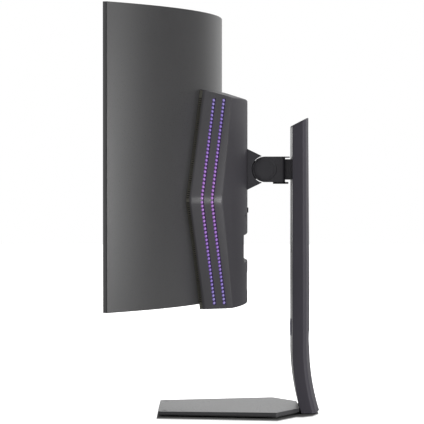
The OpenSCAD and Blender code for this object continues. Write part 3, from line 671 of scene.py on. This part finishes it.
V_LEVELS = [0, 1, 2, 3, 4.5, 6, 8, 11, 15, 22, 40, 70, 100, 130, 155]
V_ROWS = sorted({-v for v in V_LEVELS} | set(V_LEVELS)
                | {v for ends in GROOVE_ENDS.values() for v in (ends[0] - 0.3, *ends, ends[1] + 0.3)})


def top_z(r):
    return HOUSE_HI - max(0.0, r - EDGE) * TOP_DROP / (SHELL - EDGE)


def v_loft(outline, top, bottom):
    """Solid whose plan outline at each height is outline(dz). Its top and bottom follow
    top(p) and bottom(p), functions of the plan point."""
    n = len(outline(0))
    lows, highs = [0.0] * n, [0.0] * n
    for j in range(n):
        dz_hi, dz_lo = HALF, -HALF
        for _ in range(6):
            dz_hi = top(outline(dz_hi)[j]) - MID
            dz_lo = bottom(outline(dz_lo)[j]) - MID
        highs[j], lows[j] = dz_hi, dz_lo
    rows = []
    for level in [-HALF] + V_ROWS + [HALF]:
        row = []
        for j in range(n):
            dz = level
            if level == HALF:
                dz = highs[j]
            elif level == -HALF:
                dz = lows[j]
            p = outline(dz)[j]
            row.append((p.x, p.y, MID + dz))
        rows.append(row)
    return rings(rows)


def side_cutter(off):
    """Everything outside the bar's face and return, moved inwards by off, on the right side."""
    def outline(dz):
        c = inner_corner(dz, off, off)
        return [c, c + D_FACE * 140, c + D_FACE * 140 + P_FACE * 120, c - D_RETURN * 60 + P_RETURN * 160,
                c - D_RETURN * 60]
    rows = []
    for dz in [-HALF - 15] + V_ROWS + [HALF + 15]:
        rows.append([(p.x, p.y, MID + dz) for p in outline(dz)])
    return rings(rows)


def house_section(r0, off):
    r1, lo, hi = SHELL - off, HOUSE_LO + off, HOUSE_HI - off
    return fillet([(r0, lo), (r1, lo), (r1, hi - TOP_DROP), (EDGE, hi), (r0, hi + TOP_RISE)],
                  [0, 1.3, 3.5, 4, 0], 4)


def vesa(make):
    return [make(x, TILT_Z + z) for x in (-50, 50) for z in (-50, 50)]


def rear_cover():
    wall = 2.5
    shell = sector(house_section(SKIN + 0.1, 0), -24, 24)
    right = side_cutter(BAR_T + 0.1)
    left = mirrored(right)
    shell = cut(shell, right, left, sector(house_section(SKIN - 2, wall), -25, 25))
    lining = block(-BAY_X - 2, BAY_X + 2, 21, SHELL, BAY_LO - 2, BAY_HI + 2)
    lining = combine(lining, [arc_wall(SKIN + 1, SHELL - 1, HOUSE_LO, HOUSE_HI, 24)], "INTERSECT")
    shell = join(shell, lining)
    bay_a = math.degrees(math.asin(BAY_X / SHELL))
    bend = [(846 + 4 * math.sin(t), BAY_HI + 4 - 4 * math.cos(t))
            for t in (math.radians(15 * k) for k in range(7))]
    flare = sector([(843.5, BAY_LO), (856, BAY_LO - 7.2), (856, BAY_HI + 4)] + bend[::-1]
                   + [(843.5, BAY_HI)], -bay_a, bay_a)
    cutters = [block(-BAY_X, BAY_X, 20, 60, BAY_LO, BAY_HI), flare,
               block(-36.2, 36.2, 40, 60, TILT_Z - 28.2, TILT_Z + 28.2),
               prism("y", fillet([(RELEASE_Z - 4.3, -15.3), (RELEASE_Z - 4.3, 15.3),
                                  (RELEASE_Z + 4.3, 15.3), (RELEASE_Z + 4.3, -15.3)], 1.5), 40, 60),
               sector([(SHELL - 0.8, 199.6), (SHELL + 1, 199.6), (SHELL + 1, 231), (SHELL - 0.8, 231)],
                      -4.05, 4.05)]
    cutters += vesa(lambda x, z: rod("y", 4.5, 40, 60, z, x, 40))
    for x in (-80, 80):
        cutters.append(rod("y", 3.4, 44.9, 50, 325, x, 32))
        cutters.append(rod("y", 1.6, 40, 50, 325, x, 24))
    for x, y, r in ((0, JOY_Y, 5), (120, 25, 1.6), (-120, 25, 1.6)):
        cutters.append(rod("z", r, HOUSE_LO - 1, HOUSE_LO + 4, x, y, 40))
    return cut(shell, *cutters)


finish_piece(rear_cover(), "rear_cover_shell", "head", M["housing"], ["rear_cover"], 0.45, 2, 38)


# ---- Light bars ----

ROWS_AT = [row * ROW_GAP * ACROSS for row in (1, 2)]
GROOVE_HALF = GROOVE_W * ACROSS / 2
DEPTH = GROOVE_D / FACE_TILT


def bar_outline(dz):
    p = front_corner(dz)
    nose = 1.1
    front = p - D_RETURN * -reach(p, D_RETURN, RETURN_R)
    out = [front]
    a, b = p - D_RETURN * nose, p + D_FACE * nose
    for k in range(5):
        t = k / 4
        out.append(a * (1 - t) ** 2 + p * (2 * t * (1 - t)) + b * t * t)
    row = limb_line(dz)
    for number, at in zip((1, 2), ROWS_AT):
        low, high = GROOVE_ENDS[number]
        here = DEPTH if low - 0.01 <= dz <= high + 0.01 else 0.0
        for s, deep in ((-GROOVE_HALF - 0.25, 0), (-GROOVE_HALF, 0.3), (-GROOVE_HALF + 0.1, 1),
                        (GROOVE_HALF - 0.1, 1), (GROOVE_HALF, 0.3), (GROOVE_HALF + 0.25, 0)):
            out.append(row + D_FACE * (at + s) - P_FACE * (here * deep))
    end = p + D_FACE * reach(p, D_FACE, SHELL)
    out.append(end - D_FACE * 0.5)
    out.append(end - D_FACE * 0.12 - P_FACE * 0.12)
    c = inner_corner(dz, BAR_T, BAR_T)
    out.append(c + D_FACE * reach(c, D_FACE, SHELL))
    out.append(c)
    out.append(c + D_RETURN * reach(c, D_RETURN, RETURN_R))
    return out


def bar_floor(p):
    return HOUSE_LO + max(0.0, radius(p) - (SHELL - 1.5))


def light_bar():
    return v_loft(bar_outline, lambda p: top_z(radius(p)), bar_floor)


def face_point(dz, along):
    p = limb_line(dz) + D_FACE * along
    return Vector((p.x, p.y, MID + dz))


def limb_normal(dz):
    """Normal of the bar's face, turning smoothly through the point of the V."""
    lift = (dz / softened(dz)) ** 3
    return Vector((N_FACE.x, N_FACE.y, N_FACE.z * lift)).normalized()


def lights():
    """Every lens of one bar, as domes of one mesh, with a 'core' value that is 1 at each crown."""
    around, verts, faces, core = 20, [], [], []
    profile = [(1.0, -0.05), (1.0, 0.25), (0.93, 0.5), (0.76, 0.74), (0.5, 0.91), (0.2, 0.99)]
    for row in (1, 2):
        for sign, count in ((1, LEDS_UP), (-1, LEDS_DOWN)):
            for i in range(count):
                dz = sign * light_level(row, i)
                along = row * ROW_GAP * ACROSS
                n = limb_normal(dz)
                if sign < 0 and dz > 0 or sign > 0 and dz < 0:
                    n = limb_normal(0)
                base = face_point(dz, along) - n * GROOVE_D
                side = D_FACE
                up = n.cross(side).normalized()
                first = len(verts)
                for r, h in profile:
                    for k in range(around):
                        t = 2 * math.pi * k / around
                        verts.append(base + (side * math.cos(t) + up * math.sin(t)) * (LENS_R * r)
                                     + n * (h * 1.02))
                        core.append(max(0.0, 1 - r))
                verts.append(base + n * 1.02)
                core.append(1.0)
                for j in range(len(profile) - 1):
                    for k in range(around):
                        a, b = first + j * around + k, first + j * around + (k + 1) % around
                        faces.append((a, b, b + around, a + around))
                last = first + (len(profile) - 1) * around
                for k in range(around):
                    faces.append((last + k, last + (k + 1) % around, len(verts) - 1))
                faces.append(tuple(first + k for k in reversed(range(around))))
    obj = raw_object(verts, faces)
    layer = obj.data.attributes.new("core", "FLOAT", "POINT")
    layer.data.foreach_set("value", core)
    return obj


def paint(obj, rule):
    """Second material on the faces that the rule picks."""
    for poly in obj.data.polygons:
        poly.material_index = 1 if rule(poly) else 0


def vent_strip():
    r0, r1 = SKIN + 0.4, RETURN_R - 0.2
    radii = [r0, r0 + 0.5, r1 - 0.5, r1]
    lo, hi = HOUSE_LO - MID, HOUSE_HI - MID
    levels, slots = {lo, hi}, []
    for i in range(1, SLOTS + 1):
        for sign in (1, -1):
            a = sign * i * SLOT_PITCH * FRONT_EDGE.z
            b = sign * (i * SLOT_PITCH + SLOT_H) * FRONT_EDGE.z
            a, b = min(a, b), max(a, b)
            if a > lo + 1 and b < hi - 1:
                levels |= {a, b}
                slots.append((a, b))
    levels |= {-2.5, -1.2, 0.0, 1.2, 2.5}
    zs = sorted(levels)

    def place(z, r):
        p = front_corner(z)
        q = p + D_RETURN * reach(p, D_RETURN, r) - P_RETURN * (1 / RETURN_TILT)
        return Vector((q.x, q.y, MID + z))

    def keep(i, j):
        mid = (zs[i] + zs[i + 1]) / 2
        return j != 1 or not any(a < mid < b for a, b in slots)

    return cells(zs, radii, place, keep, lambda z, r: P_RETURN * -2.0)


for side, flip in (("right", False), ("left", True)):
    bar, dots, vent = light_bar(), lights(), vent_strip()
    if flip:
        flipped = [mirrored(o) for o in (bar, dots, vent)]
        for o in (bar, dots, vent):
            bpy.data.objects.remove(o)
        bar, dots, vent = flipped
    sign = -1 if flip else 1
    finish_piece(bar, "light_bar_face_" + side, "head", [M["face"], M["channel"]],
                 ["light_bar_" + side], tidy=False, sharp=28)

    def in_groove(poly, sign=sign):
        c = Vector((poly.center.x * sign, poly.center.y, 0)) / MM
        dz = poly.center.z / MM - MID
        rel = c - limb_line(dz)
        along, deep = rel.dot(D_FACE), -rel.dot(P_FACE)
        return deep > DEPTH * 0.15 and deep < DEPTH * 1.2 and any(abs(along - at) < GROOVE_HALF + 0.2
                                                                 for at in ROWS_AT)
    paint(bar, in_groove)
    finish_piece(dots, "light_lenses_" + side, "head", M["lens"], ["led_lenses_" + side], tidy=False)
    finish_piece(vent, "cooling_strip_" + side, "head", M["vent"], ["vent_strip_" + side],
                 0.15, 1, tidy=False)


# ---- Tilt bracket and arm ----

def trapezium():
    return fillet([(44, TILT_Z - 36), (73.2, TILT_Z - 21.8), (73.2, TILT_Z + 21.8), (44, TILT_Z + 36)],
                  [0, 2.2, 2.2, 0])


def tilt_bracket():
    body = prism("x", trapezium(), -45, 45)
    body = cut(body, arc_wall(SKIN, SHELL + 0.3, TILT_Z - 60, TILT_Z + 60, 8),
               rod("x", SEAT_R, -46, 46, TILT_Y, TILT_Z, 96))
    root = block(-35.5, 35.5, 39.2, 52, TILT_Z - 27.5, TILT_Z + 27.5)
    lug = join(block(-10, 10, 50, TILT_Y, TILT_Z - 7, TILT_Z + 7), rod("x", 10.5, -10, 10, TILT_Y, TILT_Z),
               block(-9.9, 9.9, 50.5, TILT_Y - 8, TILT_Z - 16, TILT_Z + 14))
    body = join(body, root, lug)
    return cut(body, rod("x", 6, -11, 11, TILT_Y, TILT_Z))


finish_piece(tilt_bracket(), "tilt_hub", "head", M["hub"], ["tilt_bracket"], 0.7)


def arm():
    rear, top = SWIVEL_Y + 6.6, TILT_Z + BARREL_R
    arc = [(TILT_Y + BARREL_R * math.cos(t), TILT_Z + BARREL_R * math.sin(t))
           for t in (math.radians(90 + 180 * k / 48) for k in range(49))]
    body = prism("x", arc + [(rear, TILT_Z - BARREL_R), (rear, top)], -ARM_X, ARM_X)
    sides = prism("z", fillet([(-ARM_X - 1, TILT_Y - 40), (ARM_X + 1, TILT_Y - 40), (ARM_X + 1, TILT_Y),
                               (ARM_X, TILT_Y), (ARM_X, rear), (-ARM_X, rear), (-ARM_X, TILT_Y),
                               (-ARM_X - 1, TILT_Y)], [0, 0, 0, 0, 5, 5, 0, 0]),
                  TILT_Z - 40, TILT_Z + 40)
    body = combine(body, [sides], "INTERSECT")
    pocket = 10.4
    return cut(body, block(-pocket, pocket, TILT_Y - 30, TILT_Y + 1, TILT_Z - 30, TILT_Z + 30),
               rod("x", 11.2, -pocket, pocket, TILT_Y, TILT_Z),
               rod("x", 8.03, -ARM_X + 1.3, ARM_X - 1.3, TILT_Y, TILT_Z, 48),
               rod("x", 19, ARM_X - 1.4, ARM_X + 1, TILT_Y, TILT_Z, 96),
               rod("x", 19, -ARM_X - 1, -ARM_X + 1.4, TILT_Y, TILT_Z, 96),
               rod("z", NECK_X + 0.6, NECK_LO - 0.4, NECK_HI + 0.4, 0, SWIVEL_Y, 72),
               block(-NECK_X - 1.6, NECK_X + 1.6, SWIVEL_Y, rear + 1, NECK_LO - 0.4, NECK_HI + 0.4),
               rod("z", 5, TILT_Z - BARREL_R - 1, TILT_Z + BARREL_R + 1, 0, SWIVEL_Y, 40),
               rod("z", 15.05, top - 2, top + 1, 0, SWIVEL_Y, 72))


finish_piece(arm(), "hinge_arm", "arm", M["hub"], ["arm_body"], 0.6)


def disc(r, h, dish=0.25):
    """Cap with a rounded rim, a shallow ring and a faintly dished middle, as (r, height)."""
    return [(0.01, 0), (r - 0.3, 0), (r, 0.3), (r, h - 0.5), (r - 0.15, h - 0.15), (r - 0.5, h),
            (r * 0.8, h), (r * 0.8 - 0.15, h - 0.3), (r * 0.8 - 0.55, h - 0.3), (r * 0.8 - 0.7, h),
            (r * 0.5, h - dish * 0.4), (0.01, h - dish)]


def cap_x(sign):
    """Barrel cap on one end of the tilt axis."""
    x0 = sign * (ARM_X - 1.3)
    made = turned(disc(18.9, 1.3), 0, 0, 72)
    turn = Matrix.Rotation(math.radians(90 * sign), 4, "Y")
    return turn_to(made, Matrix.Translation((x0, TILT_Y, TILT_Z)) @ turn)


caps = join(cap_x(1), cap_x(-1))
finish_piece(caps, "barrel_end_caps", "arm", M["hub"], ["barrel_caps"], tidy=False)
top_cap = turn_to(turned(disc(15, 2), 0, 0, 72), Matrix.Translation((0, SWIVEL_Y, TILT_Z + BARREL_R - 2)))
finish_piece(top_cap, "swivel_upper_cap", "arm", M["hub"], ["swivel_cap_top"], tidy=False)
under = turn_to(turned(disc(12.8, 3), 0, 0, 72), Matrix.Translation((0, SWIVEL_Y, TILT_Z - BARREL_R))
                @ Matrix.Diagonal((1, 1, -1, 1)))
under.data.flip_normals()
finish_piece(under, "swivel_lower_cap", "arm", M["hub"], ["swivel_cap_bottom"], tidy=False)


# ---- Carriage and its neck ----

def carriage():
    body = block(-44, 44, COLUMN_Y + 3.5, COLUMN_Y + 8.5, 368, 430)
    body = join(body, block(-NECK_X, NECK_X, SWIVEL_Y, COLUMN_Y + 4.5, NECK_LO, NECK_HI),
                rod("z", NECK_X, NECK_LO, NECK_HI, 0, SWIVEL_Y, 72))
    return cut(body, rod("z", 7, NECK_LO - 1, NECK_HI + 1, 0, SWIVEL_Y, 48))


finish_piece(carriage(), "neck_and_carriage", "carriage", M["neck"], ["lift_carriage"], 0.8)


# ---- Column ----

DRAFT_HINGE, DRAFT, DRAFT_LOW, DRAFT_TOP = 130.0, 0.086, 200.0, 460.0


def column_outline(inset, front):
    """The column in plan: flat sides, a chamfer, and two facets that meet in a soft ridge at the rear."""
    x2, side, ridge = COLUMN_X - inset, SIDE_Y - inset * 0.4, CROWN_Y + CROWN_H - inset
    corner = (CROWN_X - inset, CROWN_Y - inset)
    outline = [(x2, front), (x2, side), corner, (0, ridge), (-corner[0], corner[1]), (-x2, side),
               (-x2, front)]
    return fillet(outline, [0, 3, 4, 12, 4, 3, 0], 3)


def rear_draft(y, z):
    """The rear of the column leans forward a little towards its top."""
    rise = min(1.0, max(0.0, (z - DRAFT_LOW) / (DRAFT_TOP - DRAFT_LOW)))
    return y - max(0.0, y - DRAFT_HINGE) * DRAFT * rise


AXIS_Y = COLUMN_Y + BEND_R


def slant_z(y, off):
    t = math.radians(SLANT)
    return COLUMN_H + (y - COLUMN_Y) * math.tan(t) + off / math.cos(t)


def along_column(points, top_off=-2.3, foot=FOOT_Z, n=18):
    """Plan outline carried from the slanted top down the column and back along its bent foot."""
    rows = [[(x, rear_draft(y, COLUMN_H), slant_z(rear_draft(y, COLUMN_H), top_off)) for x, y in points]]
    for z in (DRAFT_TOP, DRAFT_LOW, BEND_Z):
        rows.append([(x, rear_draft(y, z), z) for x, y in points])
    for k in range(1, n + 1):
        row = []
        for x, y in points:
            lever = AXIS_Y - y
            t = math.asin((BEND_Z - foot) / lever) * k / n
            row.append((x, AXIS_Y - lever * math.cos(t), BEND_Z - lever * math.sin(t)))
        rows.append(row)
    return rings(rows)


CABLE_A, MOUTH_Z, CABLE_DEPTH, CABLE_R = 31.0, 137.7, 29.5, 11.0
LINING_T, LINING_LIP = 1.2, 1.9


def cable_rod(r, h, n=64):
    made = rod("z", r, -h / 2, h / 2, 0, 0, n)
    middle = (0, COLUMN_Y + CABLE_DEPTH / 2,
              MOUTH_Z - CABLE_DEPTH / 2 * math.tan(math.radians(CABLE_A)))
    return turn_to(made, Matrix.Translation(middle) @ Matrix.Rotation(math.radians(-90 - CABLE_A), 4, "X"))


def column_shell():
    outer = column_outline(0, COLUMN_Y)
    inner = column_outline(COLUMN_WALL, COLUMN_Y)
    shell = along_column(outer + inner[::-1])
    return cut(shell, cable_rod(CABLE_R + LINING_T + 0.1, 90))


def column_front():
    half = COLUMN_X - COLUMN_WALL - 0.2
    plate = along_column([(-half, COLUMN_Y), (half, COLUMN_Y), (half, COLUMN_Y + COLUMN_WALL),
                          (-half, COLUMN_Y + COLUMN_WALL)], foot=BASE_H + 0.3)
    slot = NECK_X + 0.8
    lo, hi = NECK_LO - 121, NECK_HI + 1
    opening = prism("y", fillet([(lo, -slot), (lo, slot), (hi, slot), (hi, -slot)], 3),
                    COLUMN_Y - 1, COLUMN_Y + 4)
    return cut(plate, cable_rod(CABLE_R + LINING_T + 0.1, 90), opening)


def column_top():
    """Slanted cap with a rounded rim, which is rounded furthest at the rear."""
    outer = [(x, rear_draft(y, COLUMN_H)) for x, y in column_outline(0, COLUMN_Y)]
    thick, rim, rear_rim = 2.2, 1.9, 3.0
    middle = COLUMN_Y + 14
    rows = [[(x, y, slant_z(y, -thick)) for x, y in outer]]
    for k in range(6):
        t = math.radians(18 * k)
        off, pull = -rim * (1 - math.sin(t)), 1 - math.cos(t)
        row = []
        for x, y in outer:
            back = max(0.0, min(1.0, (y - SIDE_Y) / 6))
            in_x = (x / COLUMN_X) * rim * pull
            in_y = (rim * (1 - back) * (-1 if y < middle else 0.3) + rear_rim * back) * pull
            row.append((x - in_x, y - in_y, slant_z(y - in_y, off)))
        rows.append(row)
    return rings(rows)


def grommet():
    ring = cut(cable_rod(CABLE_R + LINING_T, 90, 72), cable_rod(CABLE_R, 92, 72))
    core = along_column(column_outline(0, COLUMN_Y - LINING_LIP))
    return combine(ring, [core], "INTERSECT")


finish_piece(column_shell(), "column_outer_shell", "stand",
             M["shell"], ["column_shell"], 0.5, 3, 30)
finish_piece(column_front(), "column_front_panel", "stand",
             M["front"], ["column_front"], 0.4, 2)
finish_piece(column_top(), "column_slanted_cap", "stand",
             M["shell"], ["column_top_cap"], 0.6, 3, 30)
finish_piece(grommet(), "cable_hole_lining", "stand", M["grommet"], ["cable_grommet"], 0.35, 2)


# ---- Base ----

def base_top(y):
    """Height of the base's top, which slopes down to the front."""
    return BASE_H - (BASE_H - BASE_FRONT_H) * (BASE_BACK - y) / (BASE_BACK - BASE_FRONT)


def base_outline(i):
    fx, wx, rx = BASE_FRONT_X - i, BASE_WING_X - i, BASE_BACK_X - i
    fy, wy, ry = BASE_FRONT + i, BASE_WING_Y, BASE_BACK - i
    return fillet([(-fx, fy), (fx, fy), (wx, wy), (rx, ry), (-rx, ry), (-wx, wy)],
                  [7, 7, 5, 2, 2, 5], 8)


def base_slab(inset, bottom, drop):
    """The base's outline from a level height up to its sloping top, moved down by drop."""
    outline = base_outline(inset)
    return rings([[(x, y, bottom) for x, y in outline], [(x, y, base_top(y) - drop) for x, y in outline]])


def base_cover():
    return cut(base_slab(0, BASE_UNDER, 0), base_slab(2.5, BASE_UNDER - 1, 2),
               block(-49, 49, 120, 160, 0, BASE_H - 2),
               rod("z", 4.1, 0, 20, PLUG_X, PLUG_Y, 40), rod("z", 4.1, 0, 20, -PLUG_X, PLUG_Y, 40))


finish_piece(base_cover(), "base_top_cover", "stand", M["base"], ["base_cover"], 0.8, 3)


def plug(x):
    top = base_top(PLUG_Y)
    return turned([(0.01, top - 2), (4, top - 2), (4, top - 0.2), (3.8, top + 0.1), (3.2, top + 0.2),
                   (1.4, top + 0.1), (1.1, top - 0.2), (0.01, top - 0.2)], x, PLUG_Y, 40)


finish_piece(join(plug(PLUG_X), plug(-PLUG_X)), "base_plug_caps", "stand",
             M["black"], ["base_plugs"], tidy=False)

# ---- Small controls ----


def knob():
    """Joystick's cap, dished below, with the hole for its lever."""
    profile = [(5.6, 5.2), (6.3, 4.8), (6.5, 4.2), (6.5, 1), (6.1, 0.25), (5.4, 0.05), (4.6, 0.3), (3, 0.75),
               (1.2, 0.95)]
    made = turned([(r, JOY_LO + z) for r, z in profile], 0, JOY_Y, 48)
    return cut(made, rod("z", 1.56, JOY_LO + 2, JOY_LO + 7, 0, JOY_Y, 32))


finish_piece(knob(), "joystick_knob", "joystick_button",
             M["black"], ["joystick_cap"], tidy=False)


def release_key():
    outline = fillet([(RELEASE_Z - 4, -15), (RELEASE_Z - 4, 15),
                      (RELEASE_Z + 4, 15), (RELEASE_Z + 4, -15)], 1.4)
    key = join(prism("y", outline, 46, 51.4),
               block(-18, 18, 44.5, 46.6, RELEASE_Z - 6.5, RELEASE_Z + 6.5))
    ridges = [block(x - 0.5, x + 0.5, 51.0, 53, RELEASE_Z - 2.6, RELEASE_Z + 2.6) for x in range(-9, 10, 3)]
    return cut(key, *ridges)


finish_piece(release_key(), "release_key", "release", M["housing"], ["release_button"], 0.25, 2)

# ---- CAD nodes that stay, with their edges softened ----
for name, width in (("base_core", 0.4), ("base_feet", 0.5), ("io_bracket", 0.15), ("video_sockets", 0.15),
                    ("usb_sockets", 0.15), ("cover_screws", 0.3), ("label_plate", 0.05)):
    piece = NODES[name]
    weld = piece.modifiers.new("weld", "WELD")
    weld.merge_threshold = 0.00001
    edge = piece.modifiers.new("edges", "BEVEL")
    edge.width, edge.segments = width * MM, 2
    edge.limit_method, edge.angle_limit = "ANGLE", math.radians(40)

# ---- Studio ----
# How much light the floor sends back up, and the brightness of the room by direction along X, from
# the white backdrop behind to the dim front
FLOOR_BOUNCE = 0.65
ROOM = [(0.0, (1.0, 1.0, 1.0)), (0.02, (0.8, 0.8, 0.8)), (0.08, (0.2, 0.2, 0.2)), (0.25, (0.14, 0.14, 0.14)),
        (0.5, (0.3, 0.3, 0.3)), (1.0, (0.85, 0.85, 0.85))]
FLOOR_FAR, FLOOR_NEAR = 9000, 4300
floor_mesh = raw_object([(-FLOOR_FAR, -FLOOR_FAR, 0), (FLOOR_NEAR, -FLOOR_FAR, 0),
                         (FLOOR_NEAR, FLOOR_FAR, 0), (-FLOOR_FAR, FLOOR_FAR, 0)], [(0, 1, 2, 3)])
floor_mesh.name = "floor"
floor_mesh.data.transform(Matrix.Scale(MM, 4))
floor_mesh.location.z = -0.0002


def camera_switch(tree, unseen, seen):
    """Colour that is one thing to the camera and another to the light that bounces about."""
    path = tree.nodes.new("ShaderNodeLightPath")
    mix = tree.nodes.new("ShaderNodeMix")
    mix.data_type = "RGBA"
    tree.links.new(path.outputs["Is Camera Ray"], mix.inputs["Factor"])
    for socket, value in ((mix.inputs[6], unseen), (mix.inputs[7], seen)):
        if isinstance(value, float):
            socket.default_value = (value, value, value, 1)
        else:
            tree.links.new(value, socket)
    return mix.outputs[2]


def compare(tree, operation, first, second):
    """The smaller or the larger of two sockets' values."""
    node = tree.nodes.new("ShaderNodeMath")
    node.operation = operation
    tree.links.new(first, node.inputs[0])
    tree.links.new(second, node.inputs[1])
    return node.outputs["Value"]


def past_outline(tree, at, points):
    """How far a point on the floor is outside a convex outline given in millimetres: metres along X,
    and fractions of a metre along Y."""
    wider = tree.nodes.new("ShaderNodeVectorMath")
    wider.operation = "MULTIPLY"
    wider.inputs[1].default_value = (1, 25, 1)
    tree.links.new(at, wider.inputs[0])
    at, points, farthest = wider.outputs["Vector"], [(x, 25 * y) for x, y in points], None
    for (x0, y0), (x1, y1) in zip(points, points[1:] + points[:1]):
        normal = Vector((y1 - y0, x0 - x1, 0)).normalized()
        dot = tree.nodes.new("ShaderNodeVectorMath")
        dot.operation = "DOT_PRODUCT"
        dot.inputs[1].default_value = normal
        tree.links.new(at, dot.inputs[0])
        side = tree.nodes.new("ShaderNodeMath")
        side.operation = "SUBTRACT"
        side.inputs[1].default_value = normal.dot(Vector((x0, y0, 0))) * MM
        tree.links.new(dot.outputs["Value"], side.inputs[0])
        farthest = side.outputs["Value"] if farthest is None else \
            compare(tree, "MAXIMUM", farthest, side.outputs["Value"])
    return farthest


floor_mat, tree, shader, at = node_material("floor_white_painted_shadow")
# On the camera's side, close to the base and the foot, the floor has a painted contact shadow: it is
# coloured dark there and does not glow; beyond that it glows for the camera, to be white. On the far
# side both outlines are drawn in, so that the painted shadow band stays under the object.
DRAWN_IN = 60
base_shadow_outline = [(DRAWN_IN - BASE_FRONT_X, BASE_FRONT), (BASE_FRONT_X, BASE_FRONT),
              (BASE_WING_X, BASE_WING_Y), (BASE_BACK_X, BASE_BACK),
              (DRAWN_IN - BASE_BACK_X, BASE_BACK), (DRAWN_IN - BASE_WING_X, BASE_WING_Y)]
foot_shadow_outline = [(-20, 120), (80, 120), (80, 138), (62, 154), (25, 164), (-5, 164), (-20, 154)]
away = spread(tree, compare(tree, "MINIMUM", past_outline(tree, at, base_shadow_outline),
                            past_outline(tree, at, foot_shadow_outline)), 0, 1, 0.0, 0.1)
# Painted contact shadow: dark floor colour near the outlines, pale beyond them.
painted_shadow_tone = ramp(tree, away, [(0.2, (0.14, 0.14, 0.14)), (0.55, (0.95, 0.95, 0.95))])
tree.links.new(camera_switch(tree, FLOOR_BOUNCE, painted_shadow_tone), shader.inputs["Base Color"])
shader.inputs["Roughness"].default_value = 0.9
shader.inputs["Specular IOR Level"].default_value = 0.0
# The glow is held off near the outlines too, so that the painted shadow stays dark.
glow = ramp(tree, away, [(0.27, (0, 0, 0)), (0.62, (1, 1, 1))])
tree.links.new(camera_switch(tree, 0.0, glow), shader.inputs["Emission Color"])
shader.inputs["Emission Strength"].default_value = 1.0
floor_mesh.data.materials.append(floor_mat)

world = bpy.data.worlds.new("studio")
bpy.context.scene.world = world
world.use_nodes = True
tree = world.node_tree
backdrop = tree.nodes["Background"]
around = tree.nodes.new("ShaderNodeTexCoord")
split = tree.nodes.new("ShaderNodeSeparateXYZ")
tree.links.new(around.outputs["Generated"], split.inputs["Vector"])
room = ramp(tree, spread(tree, split.outputs["X"], 0, 1, -1, 1), ROOM)
tree.links.new(camera_switch(tree, room, 1.0), backdrop.inputs["Color"])
backdrop.inputs["Strength"].default_value = 1.0


def area_light(name, place, aim, size, power):
    data = bpy.data.lights.new(name, "AREA")
    data.shape, data.size, data.size_y, data.energy = "RECTANGLE", size[0], size[1], power
    light = bpy.data.objects.new(name, data)
    bpy.context.scene.collection.objects.link(light)
    light.location = place
    light.rotation_euler = (Vector(aim) - Vector(place)).to_track_quat("-Z", "Y").to_euler()
    light.visible_camera = False
    return light


area_light("rear_strip", (0.75, 2.6, 0.36), (0, 0, 0.36), (1.5, 0.35), 26)
area_light("rear_tall", (-0.35, 2.8, 0.5), (0, 0, 0.4), (0.6, 2.4), 7)
area_light("overhead", (-1.6, 0, 3.0), (0, 0, 0), (5, 6), 80)

bpy.context.scene.view_settings.view_transform = "Standard"

bpy.context.view_layer.update()
